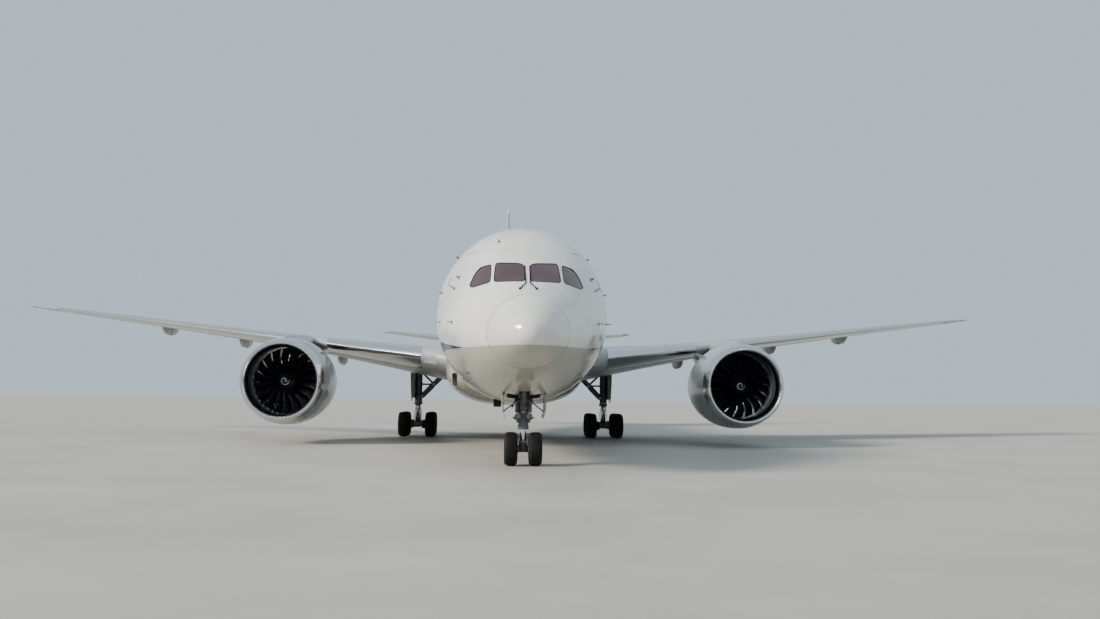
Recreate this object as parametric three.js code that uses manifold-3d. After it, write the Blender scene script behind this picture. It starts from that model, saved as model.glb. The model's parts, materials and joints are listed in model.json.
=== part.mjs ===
// A wide body twin-engine airliner standing on its gear, as a 1:2 model.
//
// Every size below is the full-size aircraft's, in millimetres, and the last group scales them all
// by SCALE. Inside the file a point is (x, station, z): x towards the port side, station measured
// aft from the nose tip, z up from the ground. A "section" is a closed ring of such points.
import * as THREE from "three";
import { mergeVertices } from "three/addons/utils/BufferGeometryUtils.js";
import Module from "manifold-3d";

const wasm = await Module();
wasm.setup();

// Driving dimensions
const SCALE = 1 / 2;
const LENGTH = 56720;
const SPAN = 60120;
const HEIGHT = 16920;
const BODY_AXIS = 4820; // height of the cabin tube's centre
const NOSE_GEAR = 5120; // station of the nose wheels
const WHEELBASE = 22780;
const TRACK = 9800;
const MAIN_GEAR = NOSE_GEAR + WHEELBASE;
const ENGINE_X = 9850;
const ENGINE_Z = 2680;
const FAN_STATION = 18250;

// Gaps, full size: half of each is left in the model
const GAP = 0.7; // between pieces that rest on each other
const CLEAR = 12; // between pieces that move past each other

// Materials: colour, roughness, metalness
const paint = (color, roughness = 0.35, metalness = 0) =>
  new THREE.MeshStandardMaterial({ color, roughness, metalness });
const WHITE = paint(0xe9e9e4);
const WING_GREY = paint(0xa9adae, 0.42);
const BELLY_GREY = paint(0x9a9a92, 0.4);
const BARE_METAL = paint(0xd2d6da, 0.22, 1);
const NACELLE_GREY = paint(0x8f969c, 0.35);
const HOT_METAL = paint(0x6d655c, 0.45, 1);
const FAN_METAL = paint(0x2b2f35, 0.38, 0.8);
const GEAR_GREY = paint(0x4a4d50, 0.5, 0.2);
const WHEEL_GREY = paint(0xa8aaa8, 0.4, 0.3);
const TYRE = paint(0x17181a, 0.85);
const GLASS = paint(0x2a2528, 0.08);

// Solids

/** A manifold solid from positions and triangles, turned so that its faces point out. */
function closed(positions, index) {
  const geometry = new THREE.BufferGeometry();
  geometry.setAttribute("position", new THREE.Float32BufferAttribute(positions, 3));
  geometry.setIndex(index);
  const merged = mergeVertices(geometry, 1e-2);
  const source = merged.index.array;
  const kept = [];
  for (let i = 0; i < source.length; i += 3) {
    const [a, b, c] = [source[i], source[i + 1], source[i + 2]];
    if (a !== b && b !== c && a !== c) kept.push(a, b, c);
  }
  const points = merged.attributes.position.array;
  if (signedVolume(points, kept) < 0) kept.reverse();
  return new wasm.Manifold(
    new wasm.Mesh({ numProp: 3, vertProperties: points, triVerts: new Uint32Array(kept) }),
  );
}

function signedVolume(points, index) {
  const corner = (i) => new THREE.Vector3().fromArray(points, 3 * index[i]);
  let volume = 0;
  for (let i = 0; i < index.length; i += 3) {
    volume += corner(i).dot(corner(i + 1).cross(corner(i + 2)));
  }
  return volume;
}

/** Numbers part of the way from one list to another. */
const mix = (a, b, t) => a.map((v, i) => v + (b[i] - v) * t);

/** A solid from one of three.js's own geometries, placed by a matrix. */
function fromGeometry(geometry, matrix = new THREE.Matrix4()) {
  const placed = geometry.clone().applyMatrix4(matrix);
  const position = placed.getAttribute("position").array;
  const index = placed.index ? placed.index.array : position.map((_, i) => i).slice(0, position.length / 3);
  return closed(Array.from(position), Array.from(index));
}

/** A skin over rings of the same number of points, with flat ends. */
function loft(rings) {
  const count = rings[0].length;
  const index = [];
  for (let r = 0; r + 1 < rings.length; r++) {
    for (let i = 0; i < count; i++) {
      const [a, b] = [r * count + i, r * count + ((i + 1) % count)];
      index.push(a, b, b + count, a, b + count, a + count);
    }
  }
  for (const [start, flip] of [[0, true], [(rings.length - 1) * count, false]]) {
    for (let i = 0, j = count - 1; i < j; i++, j--) {
      const strip = [[i, i + 1, j], [i + 1, j - 1, j]];
      for (const [a, b, c] of strip) {
        index.push(start + a, start + (flip ? c : b), start + (flip ? b : c));
      }
    }
  }
  return closed(rings.flat(2), index);
}

/** A round bar from a to b, which may taper. */
function rod(a, b, radius, radiusB = radius, sides = 8) {
  const [from, to] = [new THREE.Vector3(...a), new THREE.Vector3(...b)];
  const along = to.clone().sub(from);
  const turn = new THREE.Quaternion().setFromUnitVectors(
    new THREE.Vector3(0, 1, 0),
    along.clone().normalize(),
  );
  const geometry = new THREE.CylinderGeometry(radiusB, radius, along.length(), sides);
  const middle = from.add(to).multiplyScalar(0.5);
  return fromGeometry(geometry, new THREE.Matrix4().compose(middle, turn, new THREE.Vector3(1, 1, 1)));
}

/** A box between two corners, in its own frame. */
function boxIn(frame, low, high) {
  const size = high.map((v, i) => v - low[i]);
  const middle = high.map((v, i) => (v + low[i]) / 2);
  const place = new THREE.Matrix4().makeTranslation(...middle);
  return fromGeometry(new THREE.BoxGeometry(...size), frame.clone().multiply(place));
}

const box = (low, high) => boxIn(new THREE.Matrix4(), low, high);

/** A round bar along a frame's first axis, whose radius may change with the distance along. */
function barrelIn(frame, from, to, radiusAt, sides) {
  const geometry = new THREE.CylinderGeometry(radiusAt(to), radiusAt(from), to - from, sides);
  geometry.rotateZ(-Math.PI / 2);
  const place = new THREE.Matrix4().makeTranslation((from + to) / 2, 0, 0);
  return fromGeometry(geometry, frame.clone().multiply(place));
}

/** A frame at a hinge line's start: along the line, square to it on the side named, and across. */
function hingeFrame(start, end, side = [0, 1, 0]) {
  const along = new THREE.Vector3(...end).sub(new THREE.Vector3(...start)).normalize();
  const square = new THREE.Vector3(...side).projectOnPlane(along).normalize();
  const across = new THREE.Vector3().crossVectors(along, square);
  return new THREE.Matrix4().makeBasis(along, square, across).setPosition(...start);
}

const distance = (a, b) => new THREE.Vector3(...a).distanceTo(new THREE.Vector3(...b));

/** A turned solid about a line through centre: profile points are [along, radius]. */
function turned(profile, centre, axis, sides) {
  const points = profile.map(([along, radius]) => new THREE.Vector2(radius, along));
  const turn = new THREE.Quaternion().setFromUnitVectors(
    new THREE.Vector3(0, 1, 0),
    new THREE.Vector3(...axis),
  );
  return fromGeometry(
    new THREE.LatheGeometry(points, sides),
    new THREE.Matrix4().compose(new THREE.Vector3(...centre), turn, new THREE.Vector3(1, 1, 1)),
  );
}

const joined = (...solids) => solids.reduce((all, next) => all.add(next));
const cut = (solid, ...cutters) => cutters.reduce((left, next) => left.subtract(next), solid);

/** The largest connected body of a solid, without crumbs that a cut may leave. */
function largest(solid) {
  return solid.decompose().reduce((a, b) => (a.volume() >= b.volume() ? a : b));
}

/** Cuts a solid back from a neighbour by the resting gap, on the sides given as directions. */
function seatedOn(solid, neighbour, directions) {
  const copies = directions.map((d) => neighbour.translate(d.map((v) => v * GAP)));
  return largest(cut(solid, neighbour, ...copies));
}

/** A named mesh holding a solid. */
function piece(name, solid, material) {
  const { numProp, vertProperties, triVerts } = solid.getMesh();
  const points = new Float32Array((vertProperties.length / numProp) * 3);
  for (let i = 0; i < points.length / 3; i++) {
    points.set(vertProperties.subarray(i * numProp, i * numProp + 3), i * 3);
  }
  const geometry = new THREE.BufferGeometry();
  geometry.setAttribute("position", new THREE.BufferAttribute(points, 3));
  geometry.setIndex(new THREE.BufferAttribute(triVerts, 1));
  geometry.computeVertexNormals();
  const mesh = new THREE.Mesh(geometry, material);
  mesh.name = name;
  return mesh;
}

// Fuselage

// station, half width, top, widest height, bottom; heights are from the cabin tube's axis
const BODY = [
  [0, 40, -1060, -1100, -1140],
  [90, 300, -800, -1100, -1360],
  [300, 560, -600, -1095, -1560],
  [700, 820, -340, -1085, -1760],
  [1350, 1120, 20, -1050, -2000],
  [2300, 1550, 430, -930, -2270],
  [3300, 1950, 1080, -770, -2495],
  [4300, 2250, 1700, -590, -2660],
  [5300, 2480, 2190, -440, -2780],
  [6600, 2700, 2630, -270, -2890],
  [8200, 2860, 2930, -120, -2960],
  [10500, 2885, 2985, 0, -2985],
  [36000, 2885, 2985, 0, -2985],
  [38500, 2850, 2980, 40, -2820],
  [41000, 2730, 2960, 160, -2370],
  [44000, 2450, 2910, 420, -1640],
  [47000, 2080, 2830, 760, -860],
  [50000, 1640, 2720, 1100, -130],
  [52500, 1190, 2540, 1360, 500],
  [54300, 800, 2340, 1520, 890],
  [55300, 560, 2170, 1590, 1080],
  [55900, 380, 2010, 1620, 1240],
];
const BODY_SIDES = 28;
const RADOME_END = 1350;
const TAIL_CONE_START = 54300;

/** The cabin tube's surface, grown outwards by a margin. */
function body(grow = 0, from = -Infinity, to = Infinity) {
  const rows = BODY.filter(([station]) => station >= from && station <= to);
  return loft(
    rows.map(([station, halfWidth, top, middle, bottom]) =>
      Array.from({ length: BODY_SIDES }, (_, i) => {
        const angle = (2 * Math.PI * (i + 0.5)) / BODY_SIDES;
        const half = Math.cos(angle) > 0 ? top - middle : middle - bottom;
        return [
          Math.sin(angle) * Math.max(halfWidth + grow, 5),
          station,
          BODY_AXIS + middle + Math.cos(angle) * Math.max(half + grow, 5),
        ];
      }),
    ),
  );
}

// The flight deck's panes as seen from ahead, on the port side: x, height above the body axis
const WINDSCREEN = [[75, 470], [945, 485], [970, 600], [925, 1130], [870, 1180], [160, 1125], [65, 1010]];
const SIDE_WINDOW = [
  [1075, 480], [1590, 365], [1680, 470], [1545, 835], [1380, 1070], [1025, 1150], [1040, 560],
];
const PANES_FROM = 1400; // stations between which the panes lie
const PANES_TO = 6000;
const PANE_DEPTH = 70;
const FRAME_DEPTH = 60; // the frame that joins the panes behind the skin
const FRAME_OVERLAP = 20;
const FRAME_BAND = [[-1600, 480], [0, 560], [1600, 480], [1500, 800], [0, 1000], [-1500, 800]];
const NOSE_END = 8200; // station behind the flight deck

/** A prism along the stations over an outline in x and height. */
function aheadPrism(outline, sign, grow) {
  const middle = outline.reduce(([x, z], [a, b]) => [x + a / outline.length, z + b / outline.length], [0, 0]);
  const ring = (station) =>
    outline.map(([x, z]) => {
      const away = Math.hypot(x - middle[0], z - middle[1]);
      const k = 1 + grow / away;
      return [
        sign * (middle[0] + (x - middle[0]) * k),
        station,
        BODY_AXIS + middle[1] + (z - middle[1]) * k,
      ];
    });
  return loft([ring(PANES_FROM), ring(PANES_TO)]);
}

function flightDeckWindows() {
  const outlines = [[WINDSCREEN, 1], [WINDSCREEN, -1], [SIDE_WINDOW, 1], [SIDE_WINDOW, -1]];
  const prisms = (grow) => joined(...outlines.map(([o, sign]) => aheadPrism(o, sign, grow)));
  const nose = (grow) => body(grow, 0, NOSE_END);
  const skin = cut(nose(0), nose(-PANE_DEPTH));
  const pocketSkin = cut(nose(PANE_DEPTH), nose(-PANE_DEPTH - GAP));
  const frame = (extra) =>
    cut(nose(FRAME_OVERLAP - PANE_DEPTH + extra), nose(-PANE_DEPTH - FRAME_DEPTH - extra)).intersect(
      aheadPrism(FRAME_BAND, 1, extra),
    );
  const solid = joined(skin.intersect(prisms(0)), frame(0));
  const pocket = joined(pocketSkin.intersect(prisms(GAP)), frame(GAP));
  return { solid: largest(solid), pocket };
}

// Cargo doors, on the starboard side: name, first station, last station
const CARGO_DOORS = [
  ["cargo_door_forward", 11200, 13890],
  ["cargo_door_aft", 36300, 38990],
];
const CARGO_SILL = 2550;
const CARGO_HEAD = 4150;
const DOOR_DEPTH = 150;
const HINGE_RADIUS = 30;
const HINGE_INSET = 25; // hinge line inside the skin
const HOLD_DEPTH = 3400; // how far the hold runs in from the hinge line
const DOORS_END = 44000; // station behind the aft door

/** The body's half width at a station and a height above ground. */
function halfWidthAt(station, z) {
  const after = BODY.findIndex(([s]) => s >= station);
  const [a, b] = [BODY[after - 1], BODY[after]];
  const [, halfWidth, top, middle, bottom] = mix(a, b, (station - a[0]) / (b[0] - a[0]));
  const height = z - BODY_AXIS - middle;
  const share = height / (height > 0 ? top - middle : middle - bottom);
  return halfWidth * Math.sqrt(1 - share * share);
}

function cargoDoor(first, last) {
  const [start, end] = [first, last].map((station) => [
    HINGE_INSET - halfWidthAt(station, CARGO_HEAD),
    station,
    CARGO_HEAD,
  ]);
  const frame = hingeFrame(start, end, [1, 0, 0]); // along the hinge, inboard, down
  const length = distance(start, end);
  const height = CARGO_HEAD - CARGO_SILL;
  const shell = cut(body(0, NOSE_END, DOORS_END), body(-DOOR_DEPTH, NOSE_END, DOORS_END));
  const panel = shell.intersect(boxIn(frame, [0, -1000, CLEAR], [length, 2200, height]));
  const tube = barrelIn(frame, 0, length, () => HINGE_RADIUS, 8);
  const hole = boxIn(
    frame,
    [-CLEAR, -1000, -HINGE_RADIUS - GAP],
    [length + CLEAR, HOLD_DEPTH, height + CLEAR],
  );
  return { solid: joined(panel, tube), hole };
}

// Belly fairing: station, half width, bottom, top
const FAIRING = [
  [15400, 2350, 2060, 4200],
  [17500, 2900, 1860, 4350],
  [20000, 3110, 1740, 4420],
  [24000, 3150, 1700, 4400],
  [28500, 3150, 1700, 4350],
  [31500, 2960, 1780, 4200],
  [33800, 2560, 1960, 4000],
  [35600, 2100, 2260, 3800],
];
const FAIRING_MIDDLE = 3500;
const FAIRING_SIDES = 28;
const FAIRING_SQUARENESS = 2.6;

function bellyFairing(grow = 0) {
  const power = 2 / FAIRING_SQUARENESS;
  const shaped = (v) => Math.sign(v) * Math.abs(v) ** power;
  return loft(
    FAIRING.map(([station, halfWidth, bottom, top]) =>
      Array.from({ length: FAIRING_SIDES }, (_, i) => {
        const angle = (2 * Math.PI * (i + 0.5)) / FAIRING_SIDES;
        const half = Math.cos(angle) > 0 ? top - FAIRING_MIDDLE : FAIRING_MIDDLE - bottom;
        return [
          shaped(Math.sin(angle)) * (halfWidth + grow),
          station,
          FAIRING_MIDDLE + shaped(Math.cos(angle)) * (half + grow),
        ];
      }),
    ),
  );
}

// Wings and tail

const FOIL_STEPS = 7; // points from leading to trailing edge on each side
const TRAILING_EDGE = 0.0022; // half thickness at the trailing edge, in chords

/** Half thickness of the aerofoil at a share of the chord. */
function foilHalf(x, thickness) {
  const round = 0.2969 * Math.sqrt(x) - 0.126 * x - 0.3516 * x ** 2 + 0.2843 * x ** 3 - 0.1036 * x ** 4;
  return 5 * thickness * round + TRAILING_EDGE * x;
}

/** Points [share of chord, height in chords] from the upper trailing edge round to the lower. */
function foil(thickness, camber) {
  const side = (sign) =>
    Array.from({ length: FOIL_STEPS + 1 }, (_, i) => {
      const x = (1 - Math.cos((Math.PI * i) / FOIL_STEPS)) / 2;
      return [x, camber * 4 * x * (1 - x) + sign * foilHalf(x, thickness)];
    });
  return [...side(1).reverse(), ...side(-1).slice(1)];
}

// x, leading edge station, chord, leading edge height, incidence in degrees, thickness in chords
const WING = [
  [1800, 17770, 12500, 3530, 3.4, 0.13],
  [3000, 18600, 11600, 3710, 3.4, 0.128],
  [6500, 21030, 9320, 4190, 2.9, 0.115],
  [10200, 23600, 6900, 4710, 2.2, 0.105],
  [15000, 26780, 5720, 5370, 1.5, 0.1],
  [20500, 30420, 4380, 6130, 0.9, 0.097],
  [26300, 34270, 2960, 6930, 0.3, 0.095],
  [28300, 36060, 1850, 7200, 0, 0.095],
  [29500, 37500, 1080, 7370, 0, 0.095],
  [SPAN / 2, 38420, 480, 7450, 0, 0.095],
];
// x, leading edge station, chord, height, incidence, thickness
const STABILISER = [
  [500, 47100, 6200, 6020, 0, 0.1],
  [1500, 47900, 5620, 6150, 0, 0.1],
  [5400, 51060, 4040, 6660, 0, 0.095],
  [9300, 54220, 2500, 7180, 0, 0.09],
  [9905, 55050, 1430, 7260, 0, 0.09],
];
// height, leading edge station, chord, thickness
const FIN = [
  [7300, 41200, 10700, 0.075],
  [8150, 43300, 8900, 0.085],
  [9300, 45050, 7440, 0.1],
  [12000, 47660, 5640, 0.1],
  [14800, 50360, 3780, 0.1],
  [16500, 52000, 2650, 0.095],
  [HEIGHT, 52800, 1950, 0.09],
];

/** A row of a surface's table at a place between its rows. */
function between(table, place) {
  const after = Math.max(1, table.findIndex(([p]) => p >= place));
  const [a, b] = [table[after - 1], table[after]];
  return mix(a, b, (place - a[0]) / (b[0] - a[0]));
}

const WING_CAMBER = 0.012;

/** A point of a wing row at a share of the chord and a height in chords. */
function wingPoint([x, leading, chord, height, incidence], share, up) {
  const tilt = THREE.MathUtils.degToRad(incidence);
  return [
    x,
    leading + chord * (share * Math.cos(tilt) + up * Math.sin(tilt)),
    height + chord * (up * Math.cos(tilt) - share * Math.sin(tilt)),
  ];
}

const wingLike = (table, camber) =>
  loft(table.map((row) => foil(row[5], camber).map(([share, up]) => wingPoint(row, share, up))));

const finLoft = () =>
  loft(
    FIN.map(([height, leading, chord, thickness]) =>
      foil(thickness, 0).map(([share, side]) => [side * chord, leading + share * chord, height]),
    ),
  );

/** A bar between two rings of four points: a cutter that follows a tapering wing. */
const bar = (first, last) => loft([first, last]);

const FAR = 9000; // reaches past any trailing edge or skin

const NOSE_SIDES = 12;
const NOSE_SHARE = 1.06; // nose radius in half thicknesses, so that it reaches the skin all along
const RIB_HALF = 70; // half width of a hinge rib
const RIB_DEPTH = 260;
const RIBS = [0.12, 0.88]; // shares of the hinge line

/**
 * Splits a hinged surface off a wing, fin or stabiliser. Its nose is round about the hinge line,
 * so it turns inside the cove, and flat-faced ribs in the cove carry the nose. Each end of the
 * hinge is { at, radius }, and ends(frame, length, margin) holds the stretch that moves.
 */
function splitHinged(whole, [start, end], ends) {
  const frame = hingeFrame(start.at, end.at);
  const length = distance(start.at, end.at);
  const radiusAt = (along) => start.radius + ((end.radius - start.radius) * along) / length;
  const past = 400;
  const nose = barrelIn(frame, -past, length + past, radiusAt, NOSE_SIDES);
  const flatToCorner = 1 / Math.cos(Math.PI / NOSE_SIDES);
  const coveAt = (along) => (radiusAt(along) + CLEAR) * flatToCorner;
  const cove = barrelIn(frame, -past, length + past, coveAt, NOSE_SIDES);
  const behind = boxIn(frame, [-FAR, 0, -FAR], [2 * FAR, FAR, FAR]);
  const moving = whole.intersect(ends(frame, length, 0)).intersect(joined(behind, nose));
  const ribs = RIBS.map((share) => {
    const along = share * length;
    const front = radiusAt(along - RIB_HALF);
    return whole.intersect(
      boxIn(
        frame,
        [along - RIB_HALF, -front - RIB_DEPTH, -FAR],
        [along + RIB_HALF, -front - GAP, FAR],
      ),
    );
  });
  const opened = cut(whole, ends(frame, length, CLEAR).intersect(joined(behind, cove)));
  return { fixed: largest(joined(opened, ...ribs)), moving: largest(moving) };
}

/** A stretch whose ends are square to the hinge line, so that they stay beside their neighbours. */
const squareEnds = (frame, length, margin) =>
  boxIn(frame, [-margin, -FAR, -FAR], [length + margin, FAR, FAR]);

/** Where a wing-like surface's hinge line is at a share of its chord, and its nose radius there. */
function wingHinge(table, camber, place, share) {
  const row = between(table, place);
  const middle = camber * 4 * share * (1 - share);
  return { at: wingPoint(row, share, middle), radius: NOSE_SHARE * foilHalf(share, row[5]) * row[2] };
}

function finHinge(height, share) {
  const [, leading, chord, thickness] = between(FIN, height);
  const radius = NOSE_SHARE * foilHalf(share, thickness) * chord;
  return { at: [0, leading + share * chord, height], radius };
}

// Hinge lines: place along the span and share of the chord, at the inner and the outer end
const AILERON = [[20436, 0.74], [26100, 0.74]];
const FLAPERON = [[9560, 0.78], [11222, 0.8074]];
const ELEVATOR = [[2350, 0.7], [9200, 0.7]];
const RUDDER = [[8450, 0.69], [16900, 0.69]];
const RUDDER_FOOT_GAP = 70; // its level foot swings down a little
const FLAPERON_GAP = 45; // from the inboard flap's end, which the flaperon's inner end follows

// Flaps swing on a pivot low in their track fairings, so they move aft as they go down.
// from, to: ends along the span; low, high: shares of the chord where the front face meets the
// lower and the upper skin; tracks: where the fairings are
const FLAPS = [
  { name: "flap_inboard", from: 3650, to: 9480, low: 0.8, high: 0.86, tracks: [9050] },
  { name: "flap_outboard", from: 11420, to: 20420, low: 0.74, high: 0.82, tracks: [14700, 19600] },
];
const TRACK_DEPTH = 390; // pivot below the lower skin
const TRACK_HALF_WIDTH = 210;
const PIVOT_AHEAD = 150; // pivot forward of the flap's lower edge
const PIVOT_RADIUS = 45;
const PIVOT_GAP = 24;
const FACE_GAP = 24; // ahead of a flap's slanted front face

/** The straight front face of a flap at a place along the span, and the pivot under it. */
function flapFace({ from, to, low, high }, place) {
  const skin = (end, share, sign) => {
    const row = between(WING, end);
    return wingPoint(row, share, WING_CAMBER * 4 * share * (1 - share) + sign * foilHalf(share, row[5]));
  };
  const t = (place - from) / (to - from);
  const bottom = mix(skin(from, low, -1), skin(to, low, -1), t);
  const top = mix(skin(from, high, 1), skin(to, high, 1), t);
  return { bottom, top, pivot: [bottom[0], bottom[1] - PIVOT_AHEAD, bottom[2] - TRACK_DEPTH] };
}

/** A frame at a flap's inner lower corner, along its pivot line, with the flap's length. */
function flapFrame(flap) {
  const [start, end] = [flap.from, flap.to].map((place) => flapFace(flap, place).bottom);
  return { frame: hingeFrame(start, end), length: distance(start, end) };
}

/** The space that a flap takes up, with square ends and a slanted front face. */
function flapCutter(flap, faceGap = 0, endGap = 0) {
  const past = 2500;
  const ring = (place) => {
    const { bottom, top } = flapFace(flap, place);
    const step = [top[1] - bottom[1], top[2] - bottom[2]];
    const low = [bottom[0], bottom[1] - 2 * step[0] - faceGap, bottom[2] - 2 * step[1]];
    const high = [top[0], top[1] + 2 * step[0] - faceGap, top[2] + 2 * step[1]];
    return [low, high, [high[0], high[1] + FAR, high[2]], [low[0], low[1] + FAR, low[2]]];
  };
  const { frame, length } = flapFrame(flap);
  return bar(ring(flap.from - past), ring(flap.to + past)).intersect(squareEnds(frame, length, endGap));
}

/** The flaperon's inner end lies beside the inboard flap's end, and its outer end is square. */
function flaperonEnds(frame, length, margin) {
  const inboard = flapFrame(FLAPS[0]);
  const inner = inboard.length + (margin > 0 ? 0 : FLAPERON_GAP);
  const outer = boxIn(frame, [-FAR, -FAR, -FAR], [length + margin, FAR, FAR]);
  return outer.intersect(boxIn(inboard.frame, [inner, -FAR, -FAR], [2 * FAR, FAR, FAR]));
}

/** The rudder's foot is level, and it runs up past the fin's top. */
function rudderEnds(frame, length, margin) {
  const foot = RUDDER[0][0] - (margin > 0 ? RUDDER_FOOT_GAP : 0);
  return box([-FAR, 0, foot], [FAR, LENGTH + FAR, HEIGHT + FAR]);
}

/** A flap track fairing under the wing: station offsets from the pivot, half width, depth share. */
const TRACK_FORM = [
  [-1500, 0.1, 0.1],
  [-1150, 0.55, 0.5],
  [-600, 0.9, 0.9],
  [0, 1, 1],
  [700, 0.85, 0.9],
  [1300, 0.5, 0.62],
  [1750, 0.12, 0.35],
];

function trackFairing(flap, place, size) {
  const { pivot } = flapFace(flap, place);
  const depth = TRACK_DEPTH + PIVOT_RADIUS;
  const top = pivot[2] + depth;
  return loft(
    TRACK_FORM.map(([offset, width, share]) => {
      const half = TRACK_HALF_WIDTH * width * size;
      const bottom = top - PIVOT_RADIUS - depth * share;
      const station = pivot[1] + offset * size;
      return [
        [half, top + 60], [half, top - 0.55 * (top - bottom)], [0.55 * half, bottom],
        [-0.55 * half, bottom], [-half, top - 0.55 * (top - bottom)], [-half, top + 60],
      ].map(([x, z]) => [pivot[0] + x, station, z]);
    }),
  );
}

/** A track fairing parted at its pivot: a boss on the flap's part bears on a lug on the wing's. */
function flapTrack(flap, place, size) {
  const { pivot } = flapFace(flap, place);
  const frame = flapFrame(flap).frame.setPosition(...pivot);
  const canoe = trackFairing(flap, place, size);
  const half = 0.5 * TRACK_HALF_WIDTH * size;
  const r = PIVOT_RADIUS;
  const behind = boxIn(frame, [-FAR, PIVOT_GAP, -FAR], [FAR, FAR, FAR]);
  const ahead = boxIn(frame, [-FAR, -FAR, -FAR], [FAR, -PIVOT_GAP, FAR]);
  const boss = barrelIn(frame, -half, half, () => r, 8);
  const strap = boxIn(frame, [-half, 0, -0.7 * r], [half, 3 * r, 0.7 * r]);
  const lug = boxIn(frame, [-half, -5 * r, -0.5 * r], [half, -r - GAP, 0.5 * r]);
  const hole = barrelIn(frame, -FAR, FAR, () => r + 1.2 * CLEAR, 8);
  return {
    moving: joined(canoe.intersect(behind).intersect(flapCutter(flap)), boss, strap),
    fixed: joined(cut(canoe.intersect(ahead), hole), lug),
  };
}

/** Parts a wing into its fixed box, slats, flaps, flaperon and aileron. */
function wingPieces(fairing, shell) {
  const whole = largest(cut(wingLike(WING, WING_CAMBER), fairing, shell));
  let fixed = whole;
  const pieces = {};

  const hingeEnds = (ends) => ends.map(([place, share]) => wingHinge(WING, WING_CAMBER, place, share));
  const hinged = [["aileron", AILERON, squareEnds], ["flaperon", FLAPERON, flaperonEnds]];
  for (const [name, line, ends] of hinged) {
    const split = splitHinged(fixed, hingeEnds(line), ends);
    pieces[name] = split.moving;
    fixed = split.fixed;
  }

  for (const flap of FLAPS) {
    let moving = fixed.intersect(flapCutter(flap));
    fixed = cut(fixed, flapCutter(flap, FACE_GAP, CLEAR));
    for (const place of flap.tracks) {
      const size = place > ENGINE_X ? 0.9 : 1;
      const track = flapTrack(flap, place, size);
      moving = joined(moving, track.moving);
      fixed = joined(fixed, track.fixed);
    }
    pieces[flap.name] = largest(moving);
  }

  for (const slat of SLATS) {
    const cutter = slatCutter(slat);
    pieces[slat.name] = largest(fixed.intersect(cutter(0)));
    fixed = cut(fixed, cutter(GAP));
  }
  return { whole, fixed: largest(fixed), pieces };
}

// Slats: ends along the span and the share of the chord that they cover
const SLATS = [
  { name: "slat_inboard", from: 4200, to: 8900, share: 0.1 },
  { name: "slat_outboard", from: 10700, to: 26600, share: 0.14 },
];

const slatCutter = ({ from, to, share }) => (margin) => {
  const ring = (place) => {
    const row = between(WING, place);
    const [, station, z] = wingPoint(row, share, 0);
    return [[-FAR, -FAR], [FAR, -FAR], [FAR, margin], [-FAR, margin]].map(([out, back]) => [
      place,
      station + back,
      z + out,
    ]);
  };
  return bar(ring(from - margin), ring(to + margin));
};

// Engines: profiles are [station offset from the fan, radius]

const COWL_OUTSIDE = [[-820, 1760], [-100, 1865], [1000, 1890], [2350, 1790], [4050, 1475]];
const COWL_INSIDE = [[4050, 1452], [2600, 1535], [600, 1445], [-300, 1436], [-820, 1415]];
const LIP = [[-820, 1415], [-1150, 1450], [-1320, 1530], [-1330, 1600], [-1200, 1690], [-820, 1760]];
const HUB_RADIUS = 420;
const HUB_BACK = 300;
const SHAFT_FRONT = HUB_BACK + GAP; // against the fan hub's back
const CORE_COWL = [
  [SHAFT_FRONT, 0], [SHAFT_FRONT, 200], [380, 200], [380, 560],
  [1400, 920], [2700, 1010], [4050, 930], [5750, 600],
];
const NOZZLE_AND_PLUG = [[5150, 550], [5150, 400], [5900, 330], [6900, 0]];
const COWL_SIDES = 28;
const CHEVRONS = 14;
const CHEVRON_DEPTH = 420;
const VANES = 8;
const CORE_SIDES = 20;
const FAN_BLADES = 18;
const BLADE_MIDDLE = 100;
// Fan blade sections: radius, chord, stagger from the axis in degrees, sweep back, thickness
const BLADE = [
  [400, 420, 28, 0, 34],
  [860, 490, 44, -30, 22],
  [1408, 520, 62, 90, 10],
];
const CONE = [
  [-430, 0], [-390, 85], [-180, 295], [0, HUB_RADIUS], [HUB_BACK, HUB_RADIUS + 60], [HUB_BACK, 0],
];

const alongAircraft = [0, 1, 0];
const engineAt = (x) => [x, FAN_STATION, ENGINE_Z];
const fanFrame = (profile, x, sides, grow = 0) =>
  turned(profile.map(([a, r]) => [a, r > 0 ? r + grow : 0]), engineAt(x), alongAircraft, sides);

/** The nacelle behind its lip, with saw teeth cut round the trailing edge. */
function cowl() {
  const profile = [...COWL_OUTSIDE, ...COWL_INSIDE, COWL_OUTSIDE[0]];
  const [start, end] = [COWL_OUTSIDE[0], COWL_INSIDE.at(-1)].map(([along, radius]) => [along + GAP, radius]);
  const shifted = [start, ...profile.slice(1, -2), end, start];
  let solid = turned(shifted, engineAt(ENGINE_X), alongAircraft, COWL_SIDES);
  const back = FAN_STATION + COWL_OUTSIDE.at(-1)[0];
  const radius = COWL_OUTSIDE.at(-1)[1];
  const half = 0.97 * ((Math.PI * radius) / CHEVRONS);
  for (let i = 0; i < CHEVRONS; i++) {
    const angle = (2 * Math.PI * (i + 0.5)) / CHEVRONS;
    const ring = (r) =>
      [[-half, 30], [0, -CHEVRON_DEPTH], [half, 30]].map(([side, along]) => [
        ENGINE_X + r * Math.sin(angle) + side * Math.cos(angle),
        back + along,
        ENGINE_Z + r * Math.cos(angle) - side * Math.sin(angle),
      ]);
    solid = solid.subtract(loft([ring(radius - 250), ring(radius + 350)]));
  }
  return largest(solid);
}

const lip = () => turned([...LIP, LIP[0]], engineAt(ENGINE_X), alongAircraft, COWL_SIDES);

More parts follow.
